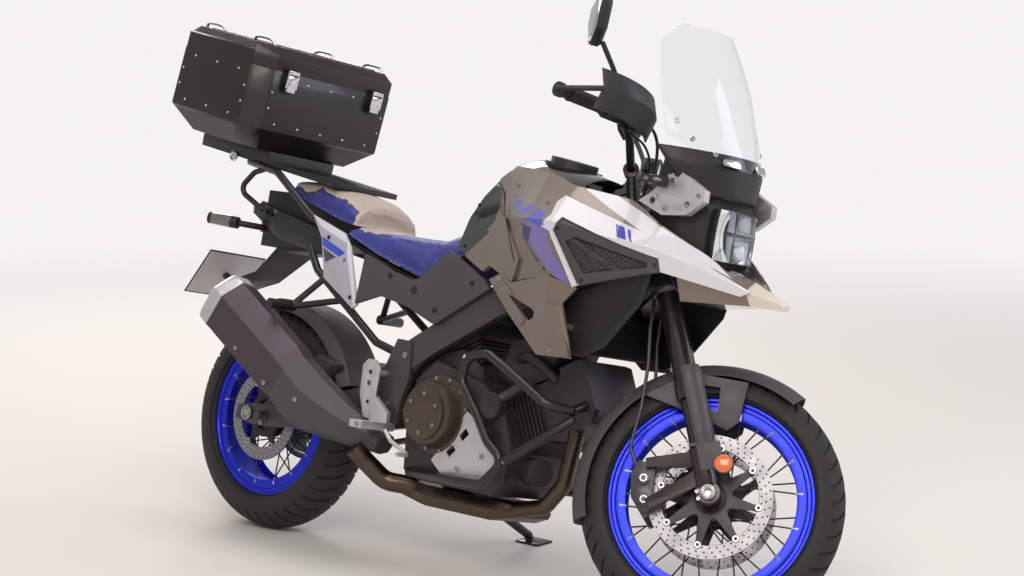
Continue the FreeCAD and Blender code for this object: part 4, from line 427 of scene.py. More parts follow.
# Plated fasteners, a little dulled by the weather.
STEEL = Finish("bright_zinc_plated_steel", "#b9bbbe", "#9a9ca0", 0.32, metallic=1.0, patch_mm=20,
               grain_mm=0.6, grain_depth_mm=0.03)
CHAIN_STEEL = Finish("oiled_chain_steel", "#8d8a83", "#5c5a55", 0.4, metallic=1.0, patch_mm=12,
                     grain_mm=0.8, grain_depth_mm=0.04)
FORK_TUBE = Finish("dark_hard_anodised_tube", "#3a3436", "#2f2a2c", 0.3, metallic=0.7, coat=0.3,
                   grain_mm=0.5, grain_depth_mm=0.01)
FORK_LOWER = Finish("bronze_hard_anodised_tube", "#4a4142", "#3c3536", 0.3, metallic=0.8, coat=0.2,
                    grain_mm=0.5, grain_depth_mm=0.01)
CALIPER = Finish("grey_anodised_caliper", "#55525a", "#434148", 0.38, metallic=0.7,
                 grain_mm=0.7, grain_depth_mm=0.04)
BLACK_PLASTIC = Finish("moulded_black_polyamide", "#1d1c1e", "#161517", 0.55, grain_mm=1.0,
                       grain_depth_mm=0.06)
# Injection-moulded guards: an even satin with a fine spark-eroded grain.
GREY_PLASTIC = Finish("moulded_grey_polypropylene", "#474146", "#3c373b", 0.5, grain_mm=1.0,
                      grain_depth_mm=0.05)
GLOSS_BLACK = Finish("gloss_black_lacquer", "#0b0a0c", "#08080a", 0.12, coat=1.0, rough_spread=0.03)
# Metallic lacquer: flakes give the warm base a bright face and a dark edge under a clear coat.
BRONZE_LACQUER = {"colour": "#82746a", "shade": "#75685e", "roughness": 0.3, "metallic": 0.55, "coat": 1.0,
                  "rough_spread": 0.04, "patch_mm": 200, "grain_mm": 0.35, "grain_depth_mm": 0.012}
BRONZE = Finish("bronze_metallic_lacquer", **BRONZE_LACQUER)
PALE = "#cfcdd6"
BLUE = "#3a40ae"
VIOLET = "#6a5ca0"
NAVY = "#1f2050"
TANK_PAINT = PaintedPanel(
    "tank_lacquer_with_stripes", **BRONZE_LACQUER, layers=(
        Layer("#0c0a0d", (((728, 955), (752, 1010), (790, 1050), (822, 1042), (850, 994), (853, 946), (820, 916),
                           (742, 920)),
                          ((706, 866), (722, 950), (760, 945), (838, 915), (745, 842)),
                          ((872, 997), (894, 975), (977, 851), (972, 843)))),
        Layer(PALE, (((1157, 1051), (1176, 1075), (1328, 1013), (1521, 922), (1608, 854), (1527, 887)),)),
        Layer(PALE, (((1076, 952), (1100, 980), (1112, 936), (1104, 934)),
                     ((1010, 962), (1012, 957), (1110, 932), (1112, 938)))),
        Layer(BLUE, (((910, 994), (930, 1010), (952, 1003), (935, 982)),
                     ((950, 976), (982, 998), (1014, 990), (982, 963)),
                     ((1002, 955), (1036, 987), (1070, 977), (1074, 940)),
                     ((893, 1015), (900, 1021), (908, 1016), (901, 1009)))),
        Layer(VIOLET, (((992, 942), (1016, 952), (1104, 932), (1096, 900), (1030, 897)),
                       ((1030, 897), (1096, 912), (1199, 800), (1120, 826), (1072, 868)))),
        Layer(NAVY, (((987, 946), (1030, 936), (1025, 897), (1002, 905)),
                     ((1002, 905), (1025, 897), (1074, 853), (1055, 853)))),
    ))
COWL_PAINT = PaintedPanel(
    "white_lacquer_with_blocks", "#d2d0d6", "#c9c7ce", 0.25, coat=1.0, rough_spread=0.04, patch_mm=200, layers=(
        Layer(BLUE, (((1290, 972), (1316, 966), (1338, 934), (1312, 938)),
                     ((1326, 962), (1335, 960), (1356, 929), (1347, 932)))),
    ))
# The tail's white lacquer is set darker than the cowl's white: painted shade, standing in for the shade on the tail
# panels.
TAIL_PAINT = PaintedPanel(
    "tail_lacquer_with_blocks", "#aaa7b3", "#9f9ca9", 0.28, coat=1.0, rough_spread=0.04, patch_mm=200, layers=(
        Layer(PALE, (((155, 904), (293, 862), (310, 836), (196, 872)),
                     ((306, 856), (324, 826), (386, 674), (370, 664), (312, 812)))),
        Layer("#2238c0", (((206, 846), (308, 809), (284, 796), (212, 821)),
                          ((301, 790), (310, 795), (312, 786), (303, 782)))),
        Layer(NAVY, (((215, 816), (272, 794), (232, 775)),)),
    ))
BEAK_PAINT = PaintedPanel(
    "beak_lacquer", **BRONZE_LACQUER, layers=(
        # Pale field on the beak's tip: a painted highlight, the glare on the bronze tip laid in as a paler lacquer.
        Layer("#d8ccc0", (((1622, 780), (1588, 900), (1760, 900), (1760, 780)),), metallic=0.2),
    ))
# Powder coat: a slight orange peel over tubes and brackets.
POWDER_BLACK = Finish("black_powder_coat", "#1b1a1c", "#131214", 0.38, coat=0.15, grain_mm=1.6,
                      grain_depth_mm=0.05)
FRAME_GREY = Finish("dark_grey_powder_coat", "#4a4448", "#3f3a3d", 0.42, metallic=0.25, grain_mm=1.6,
                    grain_depth_mm=0.05)
# Sand-cast and painted: a coarse grain that breaks up the reflections.
ENGINE_CAST = Finish("painted_cast_aluminium", "#474347", "#37343a", 0.5, metallic=0.5, patch_mm=35,
                     grain_mm=1.5, grain_depth_mm=0.12)
COVER_BRONZE = Finish("bronze_painted_cover", "#5d4f45", "#4c4038", 0.4, metallic=0.6, patch_mm=40,
                      grain_mm=1.2, grain_depth_mm=0.06)
SILVER_CAST = Finish("blasted_silver_aluminium", "#d2cfd1", "#bfbcbf", 0.42, metallic=0.75, patch_mm=30,
                     grain_mm=1.0, grain_depth_mm=0.05)
# Stainless pipe that heat has turned straw and brown.
PIPE_STEEL = Finish("heat_tinted_stainless", "#675a50", "#4b4039", 0.36, metallic=1.0, patch_mm=70,
                    grain_mm=1.0, grain_depth_mm=0.03)
MUFFLER_CAN = Finish("dark_satin_stainless", "#5a4f55", "#4d4449", 0.42, metallic=0.7, patch_mm=90,
                     grain_mm=1.0, grain_depth_mm=0.03)
# Aluminium sheet under black coat, faintly rippled between its rivets.
CASE_BLACK = Finish("black_coated_case_sheet", "#242022", "#191617", 0.36, metallic=0.3, coat=0.2,
                    patch_mm=120, grain_mm=2.2, grain_depth_mm=0.07)
RED_LENS = Finish("red_polycarbonate", "#8e1014", "#6e0a0e", 0.15, coat=1.0, rough_spread=0.03)
RADIATOR = Finish("black_radiator_core", "#161617", "#0e0e0f", 0.55, metallic=0.4)
# Chrome plate: a bright clean mirror.
CHROME = Finish("polished_chrome_plate", "#d9dadd", "#c6c7cb", 0.12, metallic=1.0, rough_spread=0.04, patch_mm=15)
MIRROR = Finish("silvered_glass", "#b9c0c8", "#b0b7c0", 0.04, metallic=1.0, rough_spread=0.01)
HOSE_RUBBER = Finish("black_hose_rubber", "#1c1b1d", "#141315", 0.6, patch_mm=18)
MESH_GREY = Finish("expanded_steel_mesh", "#6a6066", "#565055", 0.4, metallic=0.6, patch_mm=12)
PLATE_GREY = Finish("painted_aluminium_plate", "#c9c5c6", "#bdb9ba", 0.45, metallic=0.1, patch_mm=60)
ORANGE_LENS = Finish("orange_polycarbonate", "#e8743a", "#d9622b", 0.18, coat=1.0, rough_spread=0.03)
SIGNAL_LENS = Finish("smoky_signal_lens", "#6e6663", "#5d5653", 0.12, metallic=0.1, coat=1.0, rough_spread=0.03,
                     patch_mm=9)
# Vacuum-metallised reflector behind the headlight's cover.
REFLECTOR = Finish("metallised_reflector", "#c9ced6", "#aab0ba", 0.18, metallic=1.0, patch_mm=18)
LED_GLASS = Finish("moulded_led_lens", "#eef2f8", "#dfe6f0", 0.1, coat=1.0, rough_spread=0.03, patch_mm=12)


@dataclass(frozen=True)
class ClearPlastic:
    """Clear acrylic or polycarbonate sheet."""

    name: str
    colour: str
    roughness: float
    ior: float = 1.49

    def build(self, space: Space = Space.MACHINE) -> bpy.types.Material:
        """Makes the material.

        Args:
            space: The frame that its haze is measured in.

        Returns:
            The material.
        """
        if self.name in bpy.data.materials:
            return bpy.data.materials[self.name]
        material = bpy.data.materials.new(self.name)
        material.use_nodes = True
        tree = material.node_tree
        shader = tree.nodes["Principled BSDF"]
        place = place_socket(tree, space)
        haze = add_node(tree, "ShaderNodeTexNoise", {}, {"Vector": place, "Scale": 25.0, "Detail": 6.0})
        rough = add_node(tree, "ShaderNodeMapRange", {}, {
            "Value": haze.outputs["Fac"], "From Min": 0.35, "From Max": 0.75,
            "To Min": self.roughness, "To Max": self.roughness + 0.01})
        tree.links.new(rough.outputs["Result"], shader.inputs["Roughness"])
        shader.inputs["Base Color"].default_value = linear(self.colour)
        shader.inputs["Transmission Weight"].default_value = 1.0
        shader.inputs["IOR"].default_value = self.ior
        return material


# Clear sheet: faint haze from fine scratches; the low index keeps its edges from bending what lies behind.
SCREEN = ClearPlastic("clear_acrylic_screen", "#f2f5f6", 0.02, 1.2)
LENS = ClearPlastic("clear_polycarbonate_lens", "#eef2f5", 0.03, 1.58)

DRESS = {
    RIM_BLUE: ("front_rim", "rear_rim"),
    HUB_BLACK: ("front_hub", "rear_hub"),
    CARRIER: ("front_discs", "rear_disc"),
    CHAIN_STEEL: ("rear_sprocket", "chain"),
    STEEL: ("front_axle", "rear_axle"),
    FORK_TUBE: ("fork_upper_tubes",),
    FORK_LOWER: ("fork_lowers",),
    CALIPER: ("front_calipers", "rear_caliper"),
    POWDER_BLACK: ("triple_clamps", "handlebar", "subframe", "rear_rack", "crash_bars", "side_stand"),
    GREY_PLASTIC: ("fork_guards", "front_fender", "side_covers", "cowl_inserts", "rear_hugger", "muffler_shield"),
    BLACK_PLASTIC: ("bar_controls", "hand_guards", "mirrors", "filler_cap", "headlight_housing",
                    "screen_surround", "rear_mudguard", "turn_signals"),
    FRAME_GREY: ("frame", "swingarm"),
    ENGINE_CAST: ("engine",),
    COVER_BRONZE: ("engine_covers",),
    PIPE_STEEL: ("exhaust_pipes",),
    MUFFLER_CAN: ("muffler",),
    SILVER_CAST: ("muffler_cap", "screen_brackets", "engine_guards", "rider_pegs"),
    GLOSS_BLACK: ("fuel_tank",),
    BRONZE: ("side_shrouds",),
    TANK_PAINT: ("tank_covers",),
    BEAK_PAINT: ("beak",),
    COWL_PAINT: ("side_cowls",),
    TAIL_PAINT: ("tail_panels",),
    RADIATOR: ("radiator",),
    CASE_BLACK: ("case_body", "case_lid"),
    RED_LENS: ("tail_light",),
    SCREEN: ("windscreen",),
    LENS: ("headlight",),
}
FORK_NODES = {"front_axle", "fork_upper_tubes",
              "fork_lowers", "front_calipers", "triple_clamps", "handlebar", "fork_guards", "front_fender",
              "bar_controls", "hand_guards", "mirrors"}
REAR_NODES = {"rear_rim", "rear_hub", "rear_disc", "rear_sprocket"}


# Panels pressed with clear character lines keep their folds crisp.
CREASED = {node: math.radians(8) for node in ("side_cowls", "cowl_inserts", "side_shrouds", "beak", "muffler",
                                              "muffler_shield")} | {"tank_covers": math.radians(15)}


def node_space(node: str) -> Space:
    """The frame that a CAD node's pattern is measured in.

    Args:
        node: The node's name.

    Returns:
        The frame.
    """
    if node in ("front_rim", "front_hub", "front_discs"):
        return Space.FRONT_WHEEL
    if node in FORK_NODES:
        return Space.FORK
    return Space.REAR_WHEEL if node in REAR_NODES else Space.MACHINE


def smooth_group(crease: float) -> bpy.types.NodeTree:
    """A modifier that shades a mesh smooth but keeps the edges over an angle sharp.

    Args:
        crease: The angle, in radians.

    Returns:
        The node group.
    """
    label = f"soft_shading_{math.degrees(crease):.0f}"
    if label in bpy.data.node_groups:
        return bpy.data.node_groups[label]
    group = bpy.data.node_groups.new(label, "GeometryNodeTree")
    group.interface.new_socket("Geometry", in_out="INPUT", socket_type="NodeSocketGeometry")
    group.interface.new_socket("Geometry", in_out="OUTPUT", socket_type="NodeSocketGeometry")
    start = add_node(group, "NodeGroupInput")
    angle = add_node(group, "GeometryNodeInputMeshEdgeAngle")
    sharp = add_node(group, "FunctionNodeCompare", {"data_type": "FLOAT", "operation": "GREATER_THAN"}, {
        0: angle.outputs["Unsigned Angle"], 1: crease})
    smooth = add_node(group, "GeometryNodeSetShadeSmooth", {"domain": "FACE"}, {
        "Geometry": start.outputs["Geometry"], "Shade Smooth": True})
    flip = add_node(group, "FunctionNodeBooleanMath", {"operation": "NOT"}, {0: sharp.outputs["Result"]})
    edges = add_node(group, "GeometryNodeSetShadeSmooth", {"domain": "EDGE"}, {
        "Geometry": smooth.outputs["Geometry"], "Shade Smooth": flip.outputs["Boolean"]})
    add_node(group, "NodeGroupOutput", {}, {"Geometry": edges.outputs["Geometry"]})
    return group


def soften(piece: bpy.types.Object, edge_mm: float, weld: bool = True, crease: float = SHARP_ANGLE) -> None:
    """Welds a mesh, rounds its sharp edges and shades the rest smooth, by modifiers.

    Args:
        piece: The mesh object.
        edge_mm: Radius of the rounded edges, or 0 for none.
        weld: Whether loose triangles are merged first.
        crease: The angle over which an edge stays sharp.
    """
    if weld:
        piece.modifiers.new("weld", "WELD").merge_threshold = 0.00002
    if edge_mm:
        bevel = piece.modifiers.new("edges", "BEVEL")
        bevel.width = edge_mm * MM
        bevel.segments = 2
        bevel.limit_method = "ANGLE"
        bevel.angle_limit = math.radians(38)
    piece.modifiers.new("shading", "NODES").node_group = smooth_group(crease)


def dress(node: str, *materials: bpy.types.Material, edge_mm: float = 0.8) -> bpy.types.Object:
    """Gives a CAD node its materials and its rounded edges.

    Args:
        node: The node's name.
        materials: The materials, in slot order.
        edge_mm: Radius of its rounded edges.

    Returns:
        The node's object.
    """
    piece = frame["nodes"][node]
    piece.data.materials.clear()
    for material in materials:
        piece.data.materials.append(material)
    soften(piece, edge_mm, crease=CREASED.get(node, SHARP_ANGLE))
    return piece


def linked(name: str, data: bpy.types.ID) -> bpy.types.Object:
    """A new object in the scene, at the origin and unturned.

    Args:
        name: The object's name.
        data: Its mesh, curve, lamp or camera.

    Returns:
        The object.
    """
    piece = bpy.data.objects.new(name, data)
    bpy.context.collection.objects.link(piece)
    return piece


def corners(geometry: list) -> list:
    """The corners among the parts that a bmesh operator returns."""
    return [item for item in geometry if isinstance(item, bmesh.types.BMVert)]


def inset(bm: bmesh.types.BMesh, face: bmesh.types.BMFace, thickness: float, depth: float = 0.0) -> None:
    """Insets one face.

    Args:
        bm: The mesh.
        face: The face.
        thickness: Width of the border.
        depth: How far it rises, or sinks where negative.
    """
    bmesh.ops.inset_region(bm, faces=[face], thickness=thickness, depth=depth, use_even_offset=True)


def new_piece(name: str, bm: bmesh.types.BMesh, place: Matrix, body: str, slot: str,
              *materials: bpy.types.Material, edge_mm: float = 0.0) -> bpy.types.Object:
    """Turns a bmesh in millimetres into a finished piece of the machine.

    Args:
        name: The piece's name.
        bm: The mesh, in millimetres in the place's frame; it is freed.
        place: The frame that the mesh is drawn in.
        body: The CAD body that it rides on.
        slot: The record's material slot; not used.
        materials: The materials, in slot order.
        edge_mm: Radius of its rounded edges.

    Returns:
        The object, with its place in its mesh.
    """
    bmesh.ops.transform(bm, matrix=place @ Matrix.Scale(MM, 4), verts=bm.verts)
    bmesh.ops.remove_doubles(bm, verts=bm.verts, dist=0.01 * MM)
    bmesh.ops.recalc_face_normals(bm, faces=bm.faces)
    mesh = bpy.data.meshes.new(name)
    bm.to_mesh(mesh)
    bm.free()
    piece = linked(name, mesh)
    for material in materials:
        mesh.materials.append(material)
    soften(piece, edge_mm, weld=False)
    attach(piece, body)
    LOG.info("made %s: %d faces", name, len(mesh.polygons))
    return piece


def added(bm: bmesh.types.BMesh, before: set) -> list:
    """Corners that a bmesh has gained.

    Args:
        bm: The mesh.
        before: Its corners earlier.

    Returns:
        The new corners.
    """
    return [vert for vert in bm.verts if vert not in before]


def slab(bm: bmesh.types.BMesh, outline: Polygon, low: float, high: float, place: Matrix = Matrix()) -> list:
    """Adds a plate: an (x, z) outline extruded along Y.

    Args:
        bm: The mesh.
        outline: Corners (x, z).
        low: Its first face's Y.
        high: Its last face's Y.
        place: Moves the plate.

    Returns:
        Its corners.
    """
    before = set(bm.verts)
    face = bm.faces.new([bm.verts.new((x, low, z)) for x, z in outline])
    far = bmesh.ops.extrude_face_region(bm, geom=[face], use_keep_orig=True)["geom"]
    bmesh.ops.translate(bm, verts=corners(far), vec=(0, high - low, 0))
    verts = added(bm, before)
    bmesh.ops.transform(bm, matrix=place, verts=verts)
    return verts


def turned(bm: bmesh.types.BMesh, profile: Polygon, steps: int, place: Matrix = Matrix()) -> list:
    """Adds a ring or disc: a closed (radius, height) profile spun about Z.

    Args:
        bm: The mesh.
        profile: Corners (radius, height), going round.
        steps: Steps of the spin.
        place: Moves the ring.

    Returns:
        Its corners.
    """
    before = set(bm.verts)
    verts = [bm.verts.new((radius, 0, height)) for radius, height in profile]
    edges = [bm.edges.new((vert, verts[(index + 1) % len(verts)])) for index, vert in enumerate(verts)]
    bmesh.ops.spin(bm, geom=verts + edges, cent=(0, 0, 0), axis=(0, 0, 1), dvec=(0, 0, 0),
                   angle=2 * math.pi, steps=steps, use_merge=True, use_duplicate=False)
    verts = added(bm, before)
    bmesh.ops.transform(bm, matrix=place, verts=verts)
    return verts


def aimed(start: Vector, way: Vector) -> Matrix:
    """A frame whose Z points along a direction.

    Args:
        start: Its origin.
        way: The direction.

    Returns:
        The placement.
    """
    return Matrix.Translation(start) @ Vector(way).to_track_quat("Z", "X").to_matrix().to_4x4()


def bolt(bm: bmesh.types.BMesh, place: Matrix, radius: float, height: float, sides: int = 18,
         socket: float = 0.55) -> None:
    """Adds a fastener head, slightly tapered, with a sunk socket.

    Args:
        bm: The mesh.
        place: Its seat, Z outwards.
        radius: Its radius.
        height: Its height.
        sides: 6 for a nut.
        socket: The socket's radius as a share of the head's.
    """
    before = set(bm.verts)
    bmesh.ops.create_cone(bm, cap_ends=True, segments=sides, radius1=radius, radius2=radius * 0.92,
                          depth=height + 1, matrix=Matrix.Translation((0, 0, height / 2 - 0.5)))
    faces = {face for vert in added(bm, before) for face in vert.link_faces}
    top = max(faces, key=lambda face: face.calc_center_median().z)
    inset(bm, top, radius * 0.92 * (1 - socket))
    inset(bm, top, radius * 0.04, -height * 0.7)
    bmesh.ops.transform(bm, matrix=place, verts=added(bm, before))


def mirror_all(bm: bmesh.types.BMesh) -> None:
    """Adds the other side's copy of the whole mesh, mirrored in the middle plane.

    Args:
        bm: The mesh.
    """
    copy = bmesh.ops.duplicate(bm, geom=bm.verts[:] + bm.edges[:] + bm.faces[:])["geom"]
    bmesh.ops.scale(bm, vec=(1, -1, 1), verts=corners(copy))


def extent(place: Matrix, node: str) -> tuple[Vector, Vector]:
    """A CAD node's box in a frame, in millimetres.

    Args:
        place: The frame.
        node: The node's name.

    Returns:
        Its lowest and highest corners.
    """
    back = Matrix.Scale(1 / MM, 4) @ place.inverted()
    points = [back @ vert.co for vert in frame["nodes"][node].data.vertices]
    return (Vector(min(p[axis] for p in points) for axis in range(3)),
            Vector(max(p[axis] for p in points) for axis in range(3)))


class Skin:
    """Outer surface of CAD nodes, on which small pieces are seated."""

    def __init__(self, place: Matrix, *nodes: str) -> None:
        """Reads the nodes' surfaces.

        Args:
            place: The frame to work in, in millimetres.
            nodes: The nodes' names.
        """
        back = Matrix.Scale(1 / MM, 4) @ place.inverted()
        corners, faces = [], []
        for node in nodes:
            mesh = frame["nodes"][node].data
            start = len(corners)
            corners += [back @ vert.co for vert in mesh.vertices]
            faces += [[start + index for index in face.vertices] for face in mesh.polygons]
        self.tree = BVHTree.FromPolygons(corners, faces)

    def drop(self, x: float, z: float, side: int = -1) -> Matrix | None:
        """Seat where a line from one side meets the surface.

        Args:
            x: Where the line runs.
            z: Its height.
            side: -1 from the right, 1 from the left.

        Returns:
            The seat, Z outwards, or None where the line meets nothing.
        """
        point, normal, _, _ = self.tree.ray_cast(Vector((x, side * 700, z)), Vector((0, -side, 0)))
        if point is None:
            return None
        return aimed(point, normal if normal.y * side > 0 else -normal)


def tube_piece(name: str, route: Sequence[Sequence[float]], radius: float, place: Matrix, body: str,
               material: bpy.types.Material) -> bpy.types.Object:
    """A bent tube, cable or hose that is fixed at both ends.

    Args:
        name: The piece's name.
        route: The points that its line passes near, in millimetres.
        radius: Its radius.
        place: The frame of the points.
        body: The CAD body that it rides on.
        material: Its material.

    Returns:
        The object.
    """
    curve = bpy.data.curves.new(name, "CURVE")
    curve.dimensions = "3D"
    curve.bevel_depth = radius * MM
    curve.bevel_resolution = 3
    curve.resolution_u = 8
    curve.use_fill_caps = True
    spline = curve.splines.new("NURBS")
    spline.points.add(len(route) - 1)
    for point, spot in zip(spline.points, route):
        point.co = (*(place @ (Vector(spot) * MM)), 1.0)
    spline.order_u = 3
    spline.use_endpoint_u = True
    curve.materials.append(material)
    piece = linked(name, curve)
    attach(piece, body)
    LOG.info("made %s", name)
    return piece


@dataclass
class Wheels:
    """Tyres with their tread, drilled discs, floating buttons and spoke nipples."""

    front_radius: float = 329.0
    front_crown: float = 55.0
    front_flange: float = 256.0
    front_bead: float = 32.0
    rear_radius: float = 321.0
    rear_crown: float = 75.0
    rear_flange: float = 230.0
    rear_bead: float = 52.0
    wall: float = 9.0
    blocks: int = 44
    groove_share: float = 0.2
    groove_depth: float = 4.5
    skew: float = 0.16
    spokes_a_side: int = 16
    spoke_inset: float = 33.0
    lace: float = math.radians(52)
    hole_rows: int = 3
    hole_columns: int = 44
    hole_radius: float = 2.7
    disc_half: float = 2.85
    button_radius: float = 9.6
    nipple_length: float = 17.0

    def build(self) -> None:
        """Makes the pieces of both wheels."""
        rubber = TYRE_RUBBER
        self.tyre("front", self.front_radius, self.front_crown, self.front_flange, self.front_bead,
                  FRONT_WHEEL, rubber.build(Space.FRONT_WHEEL))
        self.tyre("rear", self.rear_radius, self.rear_crown, self.rear_flange, self.rear_bead,
                  REAR_WHEEL, rubber.build(Space.REAR_WHEEL))
        self.discs()
        self.nipples("front", self.front_flange - self.spoke_inset, 33.0, 47.0, 38.0, FRONT_WHEEL)
        self.nipples("rear", self.rear_flange - self.spoke_inset, 53.0, 58.0, 48.0, REAR_WHEEL)
        self.axle_nuts()

    def tyre(self, end: str, radius: float, crown: float, flange: float, bead: float, place: Matrix,
             material: bpy.types.Material) -> None:
        """A tyre: its section spun into slanting columns, the narrow ones sunk as grooves.

        Args:
            end: front or rear.
            radius: Outer radius.
            crown: Radius of the round tread and half the tyre's width.
            flange: Radius of the rim's flange.
            bead: Half width at the bead.
            place: The wheel's frame.
            material: The rubber.
        """
        arcs = 20
        centre = radius - crown
        section = [(bead, flange - 10), (bead + 1, flange + 1), (bead + 10, flange + 4), (bead + 12, flange + 7),
                   (crown - 4, (flange + centre) / 2 + 2), (crown - 1, centre - 8)]
        round_part = [(crown * math.cos(math.pi * step / arcs), centre + crown * math.sin(math.pi * step / arcs))
                      for step in range(arcs + 1)]
        outer = section + round_part + [(-y, r) for y, r in reversed(section)]
        inner = [(math.copysign(max(abs(y) - self.wall, 6), y), r - (self.wall if r > centre + crown / 2 else 0))
                 for y, r in reversed(outer)]
        bm = bmesh.new()
        columns = 2 * self.blocks
        turned(bm, [(r, y) for y, r in outer + inner], columns)
        pitch = 2 * math.pi / columns
        for vert in bm.verts:
            index = round(math.atan2(vert.co.y, vert.co.x) / pitch)
            extra = (1 - 2 * self.groove_share) * pitch if index % 2 else 0.0
            slant = self.skew * (abs(vert.co.z) / crown - 0.2) - (pitch if vert.co.z > 0 else 0.0)
            turn = extra + (slant if math.hypot(vert.co.x, vert.co.y) > centre - 10 else 0.0)
            vert.co = Matrix.Rotation(turn, 3, "Z") @ vert.co
        bmesh.ops.recalc_face_normals(bm, faces=bm.faces)
        grooves = [face for face in bm.faces if self.is_groove(face, centre, crown, pitch)]
        bmesh.ops.inset_region(bm, faces=grooves, thickness=0.7, depth=-self.groove_depth, use_even_offset=True)
        bmesh.ops.rotate(bm, verts=bm.verts, cent=(0, 0, 0), matrix=Matrix.Rotation(-math.pi / 2, 3, "X"))
        piece = new_piece(f"{end}_tyre_tread", bm, place, f"{end}_wheel", "tyre", material)
        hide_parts(f"{end}_tyre")

    def is_groove(self, face: bmesh.types.BMFace, centre: float, crown: float, pitch: float) -> bool:
        """Whether a face of the tyre belongs to a groove of its shoulder.

        Args:
            face: The face.
            centre: Radius of the tread arc's centre.
            crown: Radius of the tread arc.
            pitch: Angle of one column.

        Returns:
            True for a narrow column's face on the shoulder.
        """
        middle = face.calc_center_median()
        out = math.hypot(middle.x, middle.y)
        if out < centre + crown * 0.3 or face.normal.dot(Vector((middle.x, middle.y, 0))) < 0:
            return False
        tilt = math.degrees(math.atan2(abs(middle.z), out - centre))
        angles = [math.atan2(vert.co.y, vert.co.x) for vert in face.verts]
        width = max(angles) - min(angles)
        narrow = width < pitch * 1.05 or width > math.pi
        ends = sorted({round(vert.co.z, 3) for vert in face.verts})
        same_row = [vert for vert in face.verts if abs(round(vert.co.z, 3) - ends[0]) < 0.01]
        span = abs((math.atan2(same_row[0].co.y, same_row[0].co.x) - math.atan2(same_row[-1].co.y, same_row[-1].co.x)
                    + math.pi) % (2 * math.pi) - math.pi)
        return narrow and span < pitch and 9 < tilt < 66

    def discs(self) -> None:
        """Ground, drilled bands over the discs' dark carriers, with their buttons."""
        rows = (
            # name, place, body, side positions, outer radius, band, buttons
            ("front", FRONT_WHEEL, "front_wheel", (-71.0, 71.0), 155.0, 34.0, 8),
            ("rear", REAR_WHEEL, "rear_wheel", (-76.0,), 130.0, 36.0, 6),
        )
        for name, place, body, sides, radius, band, buttons in rows:
            bm = bmesh.new()
            self.drilled_ring(bm, radius + 0.3, radius - band + 1, sides[0])
            if len(sides) == 2:
                mirror_all(bm)
            new_piece(f"{name}_disc_band", bm, place, body, "disc_steel", DISC_STEEL.build(node_space(f"{name}_rim")))
            bm = bmesh.new()
            for side in sides:
                for index in range(buttons):
                    angle = 2 * math.pi * index / buttons
                    spot = Vector((math.cos(angle), 0, -math.sin(angle))) * (radius - band + 2)
                    away = math.copysign(1, side)
                    bolt(bm, aimed(spot + Vector((0, side + away * 2.4, 0)), Vector((0, away, 0))),
                         self.button_radius, 3.2, socket=0.45)
            new_piece(f"{name}_disc_buttons", bm, place, body, "disc_steel", STEEL.build(node_space(f"{name}_rim")),
                      edge_mm=0.3)

    def drilled_ring(self, bm: bmesh.types.BMesh, outer: float, inner: float, middle: float) -> None:
        """Adds a disc band with rows of round holes through it.

        Args:
            bm: The mesh.
            outer: Outer radius.
            inner: Inner radius.
            middle: Its place along the axle.
        """
        rows, columns, hole, half = self.hole_rows, self.hole_columns, self.hole_radius, self.disc_half

        def spot(row: float, column: float) -> Vector:
            """A point of the slanted grid of holes."""
            angle = 2 * math.pi / columns * (column + row / rows)
            radius = inner + (outer - inner) * row / rows
            return Vector((radius * math.cos(angle), 0, radius * math.sin(angle)))

        for column in range(columns):
            for row in range(rows):
                centre = spot(row + 0.5, column + 0.5)
                cell = [spot(row + up, column + along) for up, along in (
                    (0, 0), (0, 0.5), (0, 1), (0.5, 1), (1, 1), (1, 0.5), (1, 0), (0.5, 0))]
                rounds = [centre + (corner - centre).normalized() * hole for corner in cell]
                loops = [[bm.verts.new(point + Vector((0, middle + level, 0))) for point in ring]
                         for level in (-half, half) for ring in (cell, rounds)]
                edge_low, hole_low, edge_high, hole_high = loops
                walls = [(edge_low, hole_low), (hole_high, edge_high), (hole_low, hole_high)]
                for first, second in walls:
                    for index in range(8):
                        after = (index + 1) % 8
                        bm.faces.new((first[index], first[after], second[after], second[index]))
                rims = ([0, 1] if row == 0 else []) + ([4, 5] if row == rows - 1 else [])
                for index in rims:
                    bm.faces.new((edge_high[index], edge_high[index + 1], edge_low[index + 1], edge_low[index]))
        bmesh.ops.remove_doubles(bm, verts=bm.verts[:], dist=0.01)
        bmesh.ops.recalc_face_normals(bm, faces=bm.faces[:])

    def nipples(self, end: str, rim: float, rim_y: float, flange: float, flange_y: float, place: Matrix) -> None:
        """Threaded nipples where the spokes meet the rim.

        Args:
            end: front or rear.
            rim: Radius of the spokes' outer ends.
            rim_y: Their distance from the wheel's middle plane.
            flange: Radius of their inner ends.
            flange_y: The inner ends' distance from the middle plane.
            place: The wheel's frame.
        """
        bm = bmesh.new()
        for side in (-1, 1):
            for index in range(self.spokes_a_side):
                at_rim = 2 * math.pi * (index + 0.25 * side) / self.spokes_a_side
                at_hub = at_rim + self.lace * (1 if index % 2 else -1)
                near = Vector((flange * math.cos(at_hub), side * (flange_y - (4 if index % 2 else 0)),
                               flange * math.sin(at_hub)))
                far = Vector((rim * math.cos(at_rim), side * rim_y, rim * math.sin(at_rim)))
                way = (near - far).normalized()
                bmesh.ops.create_cone(bm, cap_ends=True, segments=8, radius1=4.6, radius2=3.0,
                                      depth=self.nipple_length, matrix=aimed(far + way * 5, way))
        new_piece(f"{end}_spoke_nipples", bm, place, f"{end}_wheel", "axle_steel",
                  STEEL.build(node_space(f"{end}_rim")))

